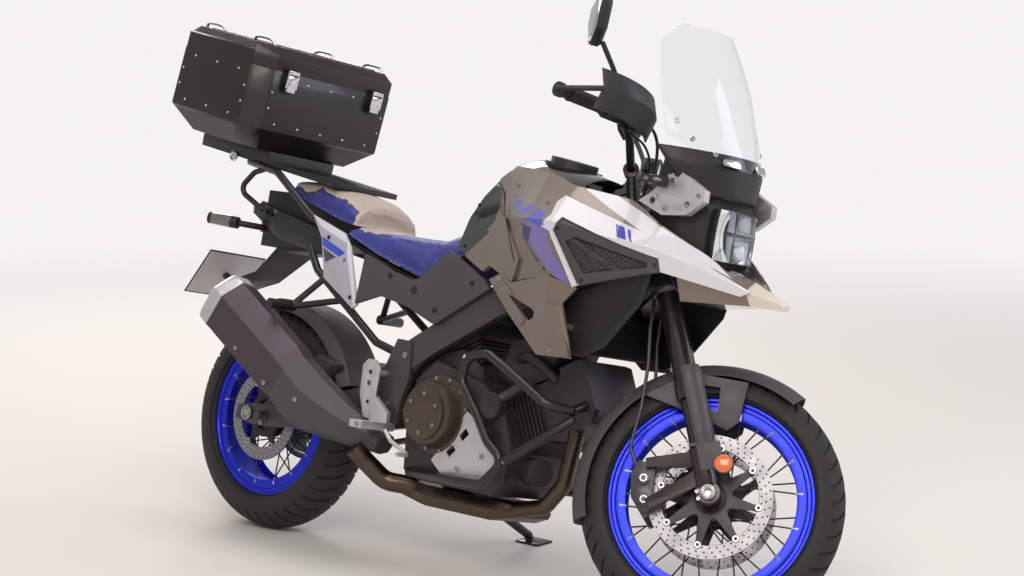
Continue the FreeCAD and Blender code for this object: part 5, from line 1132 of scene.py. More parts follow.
    def axle_nuts(self) -> None:
        """Bright nuts at the axles' ends, with a deep bore."""
        for node, place, space, sides in (("front_axle", FORK, Space.FORK, 20), ("rear_axle", REAR_WHEEL,
                                                                               Space.REAR_WHEEL, 6)):
            low, high = extent(place, node)
            bm = bmesh.new()
            for y, way in ((low.y, -1), (high.y, 1)):
                bolt(bm, aimed(Vector((0, y - way * 12, 0)), Vector((0, way, 0))), 21.0, 12.0, sides, 0.5)
            body = "steering" if node == "front_axle" else "chassis"
            new_piece(f"{node}_nuts", bm, place, body, "axle_steel", STEEL.build(space), edge_mm=0.8)


@dataclass
class Fork:
    """Small pieces of the fork: reflectors, clamp bolts and tube caps."""

    half: float = 107.0
    upper_clamp: float = 742.0
    lower_clamp: float = 518.0
    reflector: tuple[float, float] = (52.0, 58.0)
    reflector_radius: float = 22.0

    def build(self) -> None:
        """Makes the fork's small pieces."""
        bm = bmesh.new()
        x, z = self.reflector
        dome = [(0.2, 0), (self.reflector_radius, 0), (self.reflector_radius, 1.6), (self.reflector_radius - 2, 2.6),
                (0.2, 3.4)]
        turned(bm, dome, 32, aimed(Vector((x, -self.half - 37.6, z)), Vector((0, -1, 0))))
        mirror_all(bm)
        new_piece("fork_reflectors", bm, FORK, "steering", "red_lens", ORANGE_LENS.build(Space.FORK))
        bm = bmesh.new()
        for height, count in ((self.lower_clamp, 3), (self.upper_clamp - 14, 1)):
            for index in range(count):
                spot = Vector((24, -self.half - 33, height + 8 + 12 * index))
                bolt(bm, aimed(spot, Vector((0.35, -1, 0))), 5.0, 4.0)
        for height in (16.0, 34.0):
            bolt(bm, aimed(Vector((-26, -self.half - 16, height - 26)), Vector((0, -1, 0))), 5.5, 5.0)
        for x_spot, z_spot in ((-158, 20), (-148, 72)):
            bolt(bm, aimed(Vector((x_spot, -71 - 7.5 - 31, z_spot)), Vector((0, -1, 0))), 11.0, 3.0, socket=0.6)
        mirror_all(bm)
        new_piece("fork_bolts", bm, FORK, "steering", "axle_steel", STEEL.build(Space.FORK), edge_mm=0.4)
        bm = bmesh.new()
        bolt(bm, aimed(Vector((0, -self.half, self.upper_clamp + 30)), Vector((0, 0, 1))), 19.0, 6.0, 6, 0.5)
        mirror_all(bm)
        new_piece("fork_caps", bm, FORK, "steering", "fork_tube", RIM_BLUE.build(Space.FORK), edge_mm=0.6)


@dataclass
class Cockpit:
    """Ribbed grips, mirror glass, instrument panel, cables and the screen's fastenings."""

    grip_inner: tuple[float, float, float] = (1128.0, -262.0, 1186.0)
    grip_outer: tuple[float, float, float] = (1012.0, -424.0, 1160.0)
    grip_radius: float = 17.3
    ribs: int = 22
    mirror_outline: Polygon = ((0, -62), (38, -46), (84, 22), (78, 64), (30, 70), (-66, 58), (-84, 30), (-60, -34))
    mirror_centre: tuple[float, float, float] = (1020.0, -352.0, 1378.0)

    def build(self) -> None:
        """Makes the pieces round the handlebar and the screen."""
        self.grips()
        self.mirrors()
        self.panel()
        self.lines()
        self.screen_fastenings()

    def grips(self) -> None:
        """Rubber sleeves with fine ribs round them."""
        inner, outer = Vector(self.grip_inner), Vector(self.grip_outer)
        way = (outer - inner).normalized()
        length = (outer - inner).length - 74 - 8
        pitch = length / self.ribs
        profile = [(self.grip_radius - 1, 0), (self.grip_radius + 3, 0), (self.grip_radius + 3, 4)]
        for index in range(1, self.ribs):
            base = index * pitch
            profile += [(self.grip_radius + 0.1, base), (self.grip_radius + 0.1, base + pitch * 0.4),
                        (self.grip_radius + 1.3, base + pitch * 0.5), (self.grip_radius + 1.3, base + pitch * 0.9)]
        profile += [(self.grip_radius + 2.4, length), (self.grip_radius - 1, length)]
        bm = bmesh.new()
        turned(bm, profile, 28, aimed(inner + way * 66, way))
        mirror_all(bm)
        new_piece("grip_rubbers", bm, STEERED, "steering", "black_plastic", TYRE_RUBBER.build(Space.FORK))

    def mirrors(self) -> None:
        """Glass of the two mirrors, set in a bright edge."""
        turn = Matrix.Translation(self.mirror_centre) @ Matrix.Rotation(math.radians(-6), 4, "Y") \
            @ Matrix.Rotation(math.radians(20), 4, "Z") @ Matrix.Rotation(math.radians(90), 4, "Z")
        bm = bmesh.new()
        pane = [(a * 0.86, b * 0.86 + 1) for a, b in self.mirror_outline]
        slab(bm, pane, 1.7, 3.0, turn)
        mirror_all(bm)
        new_piece("mirror_glass", bm, STEERED, "steering", "black_plastic", MIRROR.build(Space.FORK), edge_mm=0.4)

    def panel(self) -> None:
        """Dark display of the instruments, with a raised bezel, facing the rider."""
        lean = math.atan2(16, 88)
        place = MACHINE @ Matrix.Translation(Vector((1322.5, 0, 1146)) * MM) \
            @ Matrix.Rotation(lean, 4, "Y")
        bm = bmesh.new()
        plate = [(-86, -36), (86, -36), (86, 30), (76, 38), (-76, 38), (-86, 30)]
        slab(bm, plate, -4.5, 4, Matrix.Rotation(math.radians(-90), 4, "Z"))
        front = min(bm.faces, key=lambda face: face.calc_center_median().x)
        inset(bm, front, 6)
        inset(bm, front, 1, -2.4)
        front.material_index = 1
        new_piece("instrument_panel", bm, place, "chassis", "black_plastic", BLACK_PLASTIC.build(),
                  GLOSS_BLACK.build(), edge_mm=0.7)

    def lines(self) -> None:
        """Brake line and cables between the handlebar and the upper clamp."""
        rubber = HOSE_RUBBER.build(Space.FORK)
        rows = (
            # name, radius, points of its line
            ("brake_line", 4.2, ((1152, -168, 1204), (1176, -132, 1222), (1204, -84, 1196), (1210, -52, 1130),
                                 (1196, -40, 1064), (1182, -34, 1010))),
            ("throttle_cable", 3.2, ((1126, -258, 1162), (1162, -228, 1150), (1190, -160, 1152), (1204, -84, 1124),
                                     (1198, -48, 1054))),
            ("clutch_line", 4.0, ((1152, 168, 1204), (1178, 130, 1216), (1200, 84, 1188), (1206, 56, 1120),
                                  (1192, 44, 1060), (1180, 38, 1010))),
            ("switch_cable", 3.4, ((1120, 256, 1160), (1158, 214, 1140), (1184, 150, 1134), (1196, 88, 1104),
                                   (1186, 50, 1030))),
        )
        for name, radius, route in rows:
            tube_piece(name, route, radius, STEERED, "steering", rubber)

    def screen_fastenings(self) -> None:
        """Screws through the screen and the clips beside them, and the brackets' bolts."""
        skin = Skin(MACHINE, "windscreen")
        bm = bmesh.new()
        clips = bmesh.new()
        for x, z in ((1440, 1206), (1404, 1246), (1480, 1176)):
            seat = skin.drop(x, z)
            if seat is not None:
                bolt(bm, seat, 7.0, 3.0, socket=0.5)
        brackets = Skin(MACHINE, "screen_brackets")
        for x, z in ((1340, 1062), (1410, 1098), (1496, 1066), (1396, 1026)):
            seat = brackets.drop(x, z)
            if seat is not None:
                bolt(bm, seat, 6.5, 4.0)
        mirror_all(bm)
        new_piece("screen_screws", bm, MACHINE, "chassis", "axle_steel", STEEL.build(), edge_mm=0.3)
        for y in (-60, 60):
            seat = aimed(Vector((1511, y, 1160)), Vector((1, y / 240, 0.42)))
            slab(clips, ((-11, -26), (11, -26), (9, 24), (0, 30), (-9, 24)), -3.5, 3.0,
                 seat @ Matrix.Rotation(math.radians(90), 4, "X") @ Matrix.Rotation(math.pi, 4, "Y"))
        new_piece("screen_clips", clips, MACHINE, "chassis", "silver", CHROME.build(), edge_mm=1.2)


@dataclass
class Body:
    """Painted panels and the fasteners, grilles and fins that sit in them."""

    seats: tuple = (
        # nodes, radius, height, (x, z) places
        (("side_covers",), 8.0, 3.0, ((505, 765), (690, 690), (810, 775))),
        (("side_covers",), 12.0, 2.0, ((602, 735),)),
        (("side_shrouds",), 6.0, 3.0, ((930, 794), (1188, 772), (1150, 634), (1010, 702))),
        (("tank_covers",), 5.5, 2.5, ((742, 872), (752, 985), (1092, 838))),
        (("side_cowls", "cowl_inserts"), 5.0, 2.5, ((1134, 942), (1414, 884), (1222, 820))),
        (("tail_panels",), 6.0, 2.5, ((232, 846), (352, 690))),
        (("frame",), 9.0, 5.0, ((640, 700), (760, 720), (980, 780), (600, 560), (560, 420), (880, 640), (700, 300))),
        (("subframe",), 6.5, 4.0, ((420, 740), (180, 850), (-40, 900), (300, 800))),
        (("engine_guards",), 7.5, 4.0, ((870, 292), (948, 336), (858, 420))),
        (("rider_pegs",), 7.0, 4.0, ((513, 505), (513, 470), (518, 420), (590, 362))),
        (("muffler_shield", "muffler"), 7.0, 4.0, ((330, 392), (196, 420), (60, 500))),
        (("swingarm",), 7.0, 4.0, ((500, 430), (60, 300))),
        (("crash_bars",), 7.0, 4.0, ((1068, 338), (890, 584))),
        (("rear_caliper",), 7.0, 4.0, ((30, 440), (-30, 430))),
    )
    insert_window: Polygon = ((1164, 914), (1192, 922), (1394, 881), (1392, 877), (1226, 842))
    mesh_pitch: float = 13.0

    def build(self) -> None:
        """Makes the inner panels (partly a dark sheet for the shade inside the fairing), the bolts, the grille and
        the radiator's fins.
        """
        self.inner_panels_and_painted_shade()
        self.bolts()
        self.grille()
        self.radiator_fins()
        self.crankcase_bolts()

    def inner_panels_and_painted_shade(self) -> None:
        """Black inner panels between the cowls and the radiator, ahead of the shrouds: partly real inner panels,
        partly a dark sheet that stands in for the shade inside the fairing.
        """
        bm = bmesh.new()
        slab(bm, ((1120, 636), (1110, 800), (1206, 812), (1330, 866), (1404, 872), (1384, 784), (1290, 664),
                  (1222, 630)), -172, -168)
        outer = min(bm.faces, key=lambda face: face.calc_center_median().y)
        inset(bm, outer, 16)
        inset(bm, outer, 5, -2.5)
        mirror_all(bm)
        new_piece("inner_panels_and_painted_shade", bm, MACHINE, "chassis", "black_plastic", BLACK_PLASTIC.build(), edge_mm=0.6)

    def bolts(self) -> None:
        """Bolt heads on both sides, each seated on its panel."""
        bright, dark = bmesh.new(), bmesh.new()
        for nodes, radius, height, places in self.seats:
            skin = Skin(MACHINE, *nodes)
            into = dark if nodes[0] in ("side_covers", "tank_covers", "side_cowls", "tail_panels") else bright
            for x, z in places:
                for side in (-1, 1):
                    seat = skin.drop(x, z, side)
                    if seat is not None:
                        bolt(into, seat, radius, height)
        new_piece("body_bolts", bright, MACHINE, "chassis", "axle_steel", STEEL.build(), edge_mm=0.3)
        new_piece("panel_screws", dark, MACHINE, "chassis", "black_plastic", POWDER_BLACK.build(), edge_mm=0.3)

    def grille(self) -> None:
        """Diamond mesh in the cowl insert's window, laid on the curved panel behind it."""
        skin = Skin(MACHINE, "cowl_inserts")
        low = Vector((min(x for x, _ in self.insert_window), min(z for _, z in self.insert_window)))
        high = Vector((max(x for x, _ in self.insert_window), max(z for _, z in self.insert_window)))
        bm = bmesh.new()
        reach = max(high.x - low.x, high.y - low.y) / 2 + 30
        count = int(2 * reach / self.mesh_pitch)
        bmesh.ops.create_grid(bm, x_segments=count, y_segments=count, size=reach)
        middle = (low + high) / 2
        turn = Matrix.Translation((middle.x, 0, middle.y)) @ Matrix.Diagonal((1.0, 1.0, 0.62, 1.0)) \
            @ Matrix.Rotation(math.radians(45), 4, "Y") @ Matrix.Rotation(math.radians(90), 4, "X")
        bmesh.ops.transform(bm, matrix=turn, verts=bm.verts)
        centre = Vector((sum(x for x, _ in self.insert_window), 0, sum(z for _, z in self.insert_window))) \
            / len(self.insert_window)
        for index, corner in enumerate(self.insert_window):
            a = Vector((corner[0], 0, corner[1]))
            following = self.insert_window[(index + 1) % len(self.insert_window)]
            b = Vector((following[0], 0, following[1]))
            normal = Vector(((b - a).z, 0, -(b - a).x)).normalized()
            if normal.dot(a - centre) < 0:
                normal.negate()
            bmesh.ops.bisect_plane(bm, geom=bm.verts[:] + bm.edges[:] + bm.faces[:], plane_co=a, plane_no=normal,
                                   clear_outer=True)
        for vert in bm.verts:
            seat = skin.drop(vert.co.x, vert.co.z)
            vert.co.y = (seat.translation.y if seat else -200.0) - 2.0
        bmesh.ops.wireframe(bm, faces=bm.faces[:], thickness=2.0, use_boundary=True, use_even_offset=False,
                            use_replace=True)
        mirror_all(bm)
        new_piece("cowl_grilles", bm, MACHINE, "chassis", "black_plastic", MESH_GREY.build())

    def radiator_fins(self) -> None:
        """Fine fins across the radiator's front face, between two side tanks."""
        bm = bmesh.new()
        low, high = Vector((1190, 0, 640)), Vector((1212, 0, 774))
        way = (high - low).normalized()
        for index in range(26):
            spot = low + way * (4 + 5.0 * index)
            slab(bm, ((0, -0.9), (4.2, -0.4), (4.2, 0.4), (0, 0.9)), -138, 138,
                 Matrix.Translation(spot) @ Matrix.Rotation(-0.16, 4, "Y"))
        for side in (-1, 1):
            slab(bm, ((-6, 0), (5.5, 0), (5.5, 132), (-6, 132)), *sorted((side * 139, side * 155.5)),
                 Matrix.Translation(low) @ Matrix.Rotation(0.16, 4, "Y"))
        new_piece("radiator_core_fins", bm, MACHINE, "chassis", "radiator_black", RADIATOR.build(), edge_mm=0.2)

    def crankcase_bolts(self) -> None:
        """Rings of bolts round the clutch and the alternator covers."""
        bm = bmesh.new()
        rows = (
            # centre x, centre z, side, ring radius, count
            (757.0, 420.0, -1, 97.0, 12), (840.0, 395.0, 1, 88.0, 10), (739.0, 418.0, -1, 52.0, 6),
        )
        skin = Skin(MACHINE, "engine_covers")
        for x, z, side, ring, count in rows:
            for index in range(count):
                angle = 2 * math.pi * (index + 0.5) / count
                seat = skin.drop(x + ring * math.cos(angle), z + ring * math.sin(angle), side)
                if seat is not None:
                    bolt(bm, seat, 5.5, 4.5)
        new_piece("crankcase_bolts", bm, MACHINE, "chassis", "axle_steel", STEEL.build(), edge_mm=0.3)


@dataclass
class Lamps:
    """Headlight with its four chambers, signal lenses, rear lamp ribs and the blank plate."""

    half: float = 79.0
    low: float = 919.0
    high: float = 1046.0
    divider: float = 990.0
    back: float = 1491.0

    def build(self) -> None:
        """Makes the lamps."""
        self.headlight()
        self.signals()
        self.rear()

    def headlight(self) -> None:
        """Bezel with sunk chambers, their light sources, and the clear cover over them."""
        turn = Matrix.Rotation(math.radians(90), 4, "Z")
        bm = bmesh.new()
        middle = self.divider - 1
        for side in (-1, 1):
            for outline in (((1, self.low), (self.half, self.low), (self.half + 1, middle), (1, middle)),
                            ((1, middle + 2), (self.half + 1, middle + 2), (self.half - 6, self.high),
                             (1, self.high))):
                verts = slab(bm, tuple((side * y, z) for y, z in outline), -self.back - 15, -self.back, turn)
                faces = {face for vert in verts for face in vert.link_faces}
                front = max(faces, key=lambda face: face.calc_center_median().x)
                bmesh.ops.recalc_face_normals(bm, faces=list(faces))
                inset(bm, front, 3.5)
                inset(bm, front, 7, -12)
                for face in {face for edge in front.edges for face in edge.link_faces}:
                    face.material_index = 1
        new_piece("headlight_chambers", bm, MACHINE, "chassis", "lens", BLACK_PLASTIC.build(),
                  REFLECTOR.build(), edge_mm=0.5)
        bm = bmesh.new()
        for y in (-41, 41):
            for z, radius in ((1016, 17), (952, 21)):
                before = set(bm.verts)
                bmesh.ops.create_uvsphere(bm, u_segments=24, v_segments=12, radius=radius)
                bmesh.ops.scale(bm, vec=(0.5, 1, 1), verts=added(bm, before))
                bmesh.ops.translate(bm, vec=(self.back + 4, y, z), verts=added(bm, before))
        new_piece("headlight_projectors", bm, MACHINE, "chassis", "lens", LED_GLASS.build())
        bm = bmesh.new()
        slab(bm, ((-self.half, self.low), (self.half, self.low), (self.half + 1, self.divider),
                  (self.half - 6, self.high), (6 - self.half, self.high), (-self.half - 1, self.divider)),
             -self.back - 20.6, -self.back - 18.4, turn)
        cover = new_piece("headlight_cover", bm, MACHINE, "chassis", "lens", LENS.build(), edge_mm=0.9)
        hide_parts("headlight")

    def signals(self) -> None:
        """Clear lenses on the front and rear turn signals."""
        bm = bmesh.new()
        front = [Vector((1378, -172, 1092)), Vector((1378, -223, 1092))]
        way = (front[1] - front[0]).normalized()
        before = set(bm.verts)
        turned(bm, ((0.2, 0), (19, 0), (18, 34), (12, 49), (0.2, 52)), 24)
        lens = added(bm, before)
        bmesh.ops.scale(bm, vec=(0.66, 1.16, 1), verts=lens)
        bmesh.ops.transform(bm, matrix=aimed(front[0], way), verts=lens)
        rear = [Vector((-170, -168, 852.9)), Vector((-237, -196.4, 856))]
        turned(bm, ((0.2, 0), (17.6, 0), (17.6, 60), (13, 72), (0.2, 75)), 24,
               aimed(rear[0], (rear[1] - rear[0]).normalized()))
        mirror_all(bm)
        new_piece("signal_lenses", bm, MACHINE, "chassis", "lens", SIGNAL_LENS.build())

    def rear(self) -> None:
        """Ribs of the rear lamp, and the plain plate on its carrier."""
        low, high = extent(MACHINE, "tail_light")
        bm = bmesh.new()
        for index in range(9):
            y = -60 + 15 * index
            slab(bm, ((low.x - 2.4, low.z + 5), (low.x + 2, low.z + 5), (low.x + 2, high.z - 5),
                      (low.x - 2.4, high.z - 5)), y - 5.5, y + 5.5)
        new_piece("tail_light_ribs", bm, MACHINE, "chassis", "red_lens", RED_LENS.build(), edge_mm=1.0)
        bm = bmesh.new()
        slab(bm, ((-2.4, -76), (2.4, -76), (2.4, 76), (-2.4, 76)), -106, 106,
             Matrix.Translation((-352, 0, 700)) @ Matrix.Rotation(math.radians(34), 4, "Y"))
        new_piece("blank_plate", bm, MACHINE, "chassis", "silver", PLATE_GREY.build(), edge_mm=1.2)


@dataclass
class Seats:
    """Rider and pillion seats: closed forms filled out by cloth simulation."""

    voxel_mm: float = 5.0
    shrink_mm: float = 3.5
    cap_mm: float = 9.0
    pressure: float = 4.0
    frames: int = 20
    seam_reach: float = 7.0
    seam_depth: float = 2.2

    def build(self) -> None:
        """Makes both seats."""
        rider = ((250, -20), (250, 110), (534, 110), (624, 90), (740, 58), (740, -20))
        rider_back = ((250, -20), (250, 110), (372, 110), (404, 70), (410, -20))
        pillion_top = ((-40, -20), (-40, 84), (120, 108), (230, 112), (300, 104), (300, -20))
        pillion_front = ((284, -20), (284, 200), (330, 200), (330, -20))
        self.pad("rider_cushion", "rider_seat", SeatVinyl(
            "rider_seat_vinyl", "#2c3184", "#262a74", 0.55, sheen=0.1, grain_mm=2.4, grain_depth_mm=0.3,
            outlines=(rider_back,)), rider)
        self.pad("pillion_cushion", "pillion_seat", SeatVinyl(
            "pillion_seat_vinyl", "#2c3184", "#262a74", 0.55, sheen=0.1, grain_mm=2.4, grain_depth_mm=0.3,
            outlines=(pillion_top, pillion_front)), pillion_top)

    def pad(self, name: str, node: str, finish: Finish, seam: Polygon) -> None:
        """A padded seat in the space of its CAD node.

        Args:
            name: The piece's name.
            node: The node that it replaces.
            finish: Its cover.
            seam: Outline (x, distance from the middle plane) along which the cover is sewn.
        """
        bm = bmesh.new()
        bm.from_mesh(frame["nodes"][node].data)
        bmesh.ops.remove_doubles(bm, verts=bm.verts, dist=0.05 * MM)
        bmesh.ops.recalc_face_normals(bm, faces=bm.faces)
        mesh = bpy.data.meshes.new(name)
        bm.to_mesh(mesh)
        bm.free()
        piece = linked(name, mesh)
        remesh = piece.modifiers.new("remesh", "REMESH")
        remesh.mode = "VOXEL"
        remesh.voxel_size = self.voxel_mm * MM
        self.settle(piece)
        for vert in piece.data.vertices:
            vert.co -= vert.normal * self.shrink_mm * MM
        self.inflate(piece)
        self.sew(piece, seam)
        piece.modifiers.new("smooth", "SUBSURF").levels = 1
        piece.modifiers["smooth"].render_levels = 1
        self.settle(piece)
        piece.data.materials.clear()
        piece.data.materials.append(finish.build())
        for face in piece.data.polygons:
            face.use_smooth = True
        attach(piece, "chassis")
        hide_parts(node)
        LOG.info("made %s: %d faces", name, len(piece.data.polygons))

    def settle(self, piece: bpy.types.Object) -> None:
        """Applies a piece's modifiers.

        Args:
            piece: The piece.
        """
        graph = bpy.context.evaluated_depsgraph_get()
        mesh = bpy.data.meshes.new_from_object(piece.evaluated_get(graph))
        piece.modifiers.clear()
        piece.data = mesh

    def inflate(self, piece: bpy.types.Object) -> None:
        """Fills the cover out with air pressure, as foam does, and limits how far it moves.

        Args:
            piece: The closed cover.
        """
        start = [vert.co.copy() for vert in piece.data.vertices]
        down = MACHINE.to_3x3() @ Vector((0, 0, -1))
        fixed = [vert.normal.dot(down) > 0.5 for vert in piece.data.vertices]
        cloth = piece.modifiers.new("filling", "CLOTH")
        cloth.settings.use_pressure = True
        cloth.settings.uniform_pressure_force = self.pressure
        cloth.settings.effector_weights.gravity = 0.0
        scene = bpy.context.scene
        for step in range(1, self.frames + 1):
            scene.frame_set(step)
        graph = bpy.context.evaluated_depsgraph_get()
        swollen = [vert.co.copy() for vert in piece.evaluated_get(graph).data.vertices]
        piece.modifiers.clear()
        for vert, old, new, held in zip(piece.data.vertices, start, swollen, fixed):
            move = new - old
            if move.length > self.cap_mm * MM:
                move = move.normalized() * self.cap_mm * MM
            vert.co = old if held else old + move
        scene.frame_set(1)

    def sew(self, piece: bpy.types.Object, seam: Polygon) -> None:
        """Sinks the cover along its sewn line.

        Args:
            piece: The seat.
            seam: The line, as corners (x, distance from the middle plane).
        """
        back = Matrix.Scale(1 / MM, 4) @ MACHINE.inverted()
        upward = MACHINE.to_3x3() @ Vector((0, 0, 1))
        pairs = [(Vector(a), Vector(b)) for a, b in zip(seam, seam[1:] + seam[:1]) if a[1] > 0 or b[1] > 0]
        for vert in piece.data.vertices:
            if vert.normal.dot(upward) < 0.1:
                continue
            spot = back @ vert.co
            flat = Vector((spot.x, abs(spot.y)))
            gap = min((flat - closest(flat, a, b)).length for a, b in pairs)
            if gap < self.seam_reach:
                vert.co -= vert.normal * self.seam_depth * MM * (1 - gap / self.seam_reach)


def closest(point: Vector, start: Vector, end: Vector) -> Vector:
    """Nearest point of a straight stretch.

    Args:
        point: The point.
        start: The stretch's start.
        end: The stretch's end.

    Returns:
        The nearest point.
    """
    run = end - start
    share = max(0.0, min(1.0, (point - start).dot(run) / run.length_squared))
    return start + run * share


@dataclass
class Luggage:
    """Trim of the top case: rivets, corner strips, latches, handles, locks, the lid's lip and the raised field on its
    top.
    """

    length: float = 396.0
    width: float = 556.0
    corner: float = 50.0
    height: float = 232.0
    lid: float = 66.0
    foot: float = 60.0
    rivet_pitch: float = 105.0
    rivet_radius: float = 3.6
    rivet_height: float = 2.4

    def ring(self, grow: float, corner: float | None = None) -> Polygon:
        """Outline of the case seen from above.

        Args:
            grow: How far it stands outside the case.
            corner: Size of the cut corners.

        Returns:
            Corners (x, y), going round.
        """
        a, b = self.length / 2 + grow, self.width / 2 + grow
        c = (self.corner if corner is None else corner) + grow * 0.586
        return ((a, c - b), (a, b - c), (a - c, b), (c - a, b), (-a, b - c), (-a, c - b), (c - a, -b), (a - c, -b))

    def band(self, bm: bmesh.types.BMesh, outline: Polygon, low: float, high: float, depth: float) -> None:
        """Adds a band round the case.

        Args:
            bm: The mesh.
            outline: Its outer outline.
            low: Its lower edge.
            high: Its upper edge.
            depth: Its thickness inwards.
        """
        before = set(bm.verts)
        face = bm.faces.new([bm.verts.new((x, y, low)) for x, y in outline])
        inset(bm, face, depth)
        bmesh.ops.delete(bm, geom=[face], context="FACES_ONLY")
        faces = list({f for vert in added(bm, before) for f in vert.link_faces})
        far = bmesh.ops.extrude_face_region(bm, geom=faces, use_keep_orig=True)["geom"]
        bmesh.ops.translate(bm, verts=corners(far), vec=(0, 0, high - low))

    def build(self) -> None:
        """Makes the case's trim."""
        self.strips()
        self.rivets()
        self.latches()
        self.lid_trim()
        self.locks()

    def strips(self) -> None:
        """Black strips over the cut corners, and the edge bands of the body."""
        bm = bmesh.new()
        a, b, c = self.length / 2, self.width / 2, self.corner
        for sx in (-1, 1):
            for sy in (-1, 1):
                middle = Vector((sx * (a - c / 2), sy * (b - c / 2), (self.foot + self.height) / 2))
                outward = Vector((sx, sy, 0)).normalized()
                half, tall = 33.0, (self.height - self.foot) / 2 - 1
                slab(bm, ((-half, -tall), (half, -tall), (half, tall), (-half, tall)), -1.8, 0.5,
                     Matrix.Translation(middle) @ outward.to_track_quat("-Y", "Z").to_matrix().to_4x4())
        self.band(bm, self.ring(1.2), self.height - 14, self.height - 1, 2.0)
        self.band(bm, self.ring(1.2), self.foot - 1, self.foot + 11, 2.0)
        new_piece("case_strips", bm, CASE, "chassis", "black_plastic", POWDER_BLACK.build(), edge_mm=0.6)

    def walls(self) -> Iterator[tuple[Vector, Vector, Vector]]:
        """The four long walls, as start, end and outward direction."""
        ring = [Vector((x, y, 0)) for x, y in self.ring(0.0)]
        for index in (0, 2, 4, 6):
            start, end = ring[index], ring[index + 1]
            run = (end - start).normalized()
            outward = Vector((run.y, -run.x, 0))
            yield start, end, outward if outward.dot(start + end) > 0 else -outward

    def rivets(self) -> None:
        """Rows of domed rivets along the upper and lower edges and the corners."""
        bm = bmesh.new()
        for start, end, outward in self.walls():
            count = int((end - start).length / self.rivet_pitch)
            for index in range(count + 1):
                spot = start.lerp(end, (index + 0.5) / (count + 1))
                for height in (self.height - 22, self.foot + 20):
                    self.dome(bm, spot + Vector((0, 0, height)), outward)
            for spot, inset in ((start, 9), (end, -9)):
                for height in range(int(self.foot) + 62, int(self.height) - 40, 46):
                    self.dome(bm, spot + (end - start).normalized() * inset + Vector((0, 0, height)), outward)
        new_piece("case_rivets", bm, CASE, "chassis", "silver", STEEL.build())

    def dome(self, bm: bmesh.types.BMesh, spot: Vector, outward: Vector) -> None:
        """Adds one rivet head.

        Args:
            bm: The mesh.
            spot: Its seat.
            outward: Away from the wall.
        """
        bmesh.ops.create_cone(bm, cap_ends=True, segments=12, radius1=self.rivet_radius,
                              radius2=self.rivet_radius / 2, depth=self.rivet_height,
                              matrix=aimed(spot + outward * self.rivet_height / 2, outward))

    def latches(self) -> None:
        """Toggle latches on the front wall: a sprung plate with its wire bail."""
        bm = bmesh.new()
        front = self.length / 2 + 14.3
        for y in (-170, 170):
            slab(bm, ((front - 4, self.height - 53), (front + 2.4, self.height - 53), (front + 4.6, self.height - 30),
                      (front + 2.4, self.height - 6), (front - 4, self.height - 6)), y - 17, y + 17)
            slab(bm, ((front - 3, self.height - 2), (front + 3.0, self.height - 2), (front + 3.0, self.height + 9),
                      (front - 3, self.height + 9)), y - 20.5, y + 20.5)
            for side in (-1, 1):
                bmesh.ops.create_cone(bm, cap_ends=True, segments=10, radius1=2.6, radius2=2.6, depth=44,
                                      matrix=Matrix.Translation((front + 2.4, y + side * 19, self.height - 20)))
        new_piece("case_latches", bm, CASE, "chassis", "silver", CHROME.build(), edge_mm=0.9)

    def lid_trim(self) -> None:
        """Lip of the lid, the raised field on its top, and the four tie-down handles."""
        bm = bmesh.new()
        self.band(bm, self.ring(1.6), self.height + 1.2, self.height + 11, 2.6)
        top = self.height + self.lid + 0.3
        face = bm.faces.new([bm.verts.new((x, y, top - 1)) for x, y in self.ring(-52.0, 60.0)])
        far = bmesh.ops.extrude_face_region(bm, geom=[face], use_keep_orig=True)["geom"]
        bmesh.ops.translate(bm, verts=corners(far), vec=(0, 0, 4))
        upper = max(bm.faces, key=lambda f: f.calc_center_median().z)
        inset(bm, upper, 26)
        inset(bm, upper, 3, -2.4)
        new_piece("lid_panel", bm, CASE, "case_lid", "case_alu", CASE_BLACK.build(), edge_mm=1.0)
        for index, (x, y) in enumerate(((110, -216), (110, 216), (-110, -216), (-110, 216))):
            side = math.copysign(1, y)
            route = [(x - 44, y, top - 2), (x - 40, y + side * 4, top + 10), (x - 24, y + side * 6, top + 15),
                     (x + 24, y + side * 6, top + 15), (x + 40, y + side * 4, top + 10), (x + 44, y, top - 2)]
            tube_piece(f"lid_handle_{index + 1}", route, 4.2, CASE, "case_lid", CHROME.build())

    def locks(self) -> None:
        """Chrome-rimmed round locks under the case, one on each side."""
        bm = bmesh.new()
        for y in (-1, 1):
            turned(bm, ((0.2, 0), (15, 0), (15, 5), (12, 6), (10, 3), (0.2, 3)), 28,
                   aimed(Vector((-250, y * 128, 1046)), Vector((0, y, 0))))
        new_piece("case_locks", bm, MACHINE, "chassis", "silver", CHROME.build())


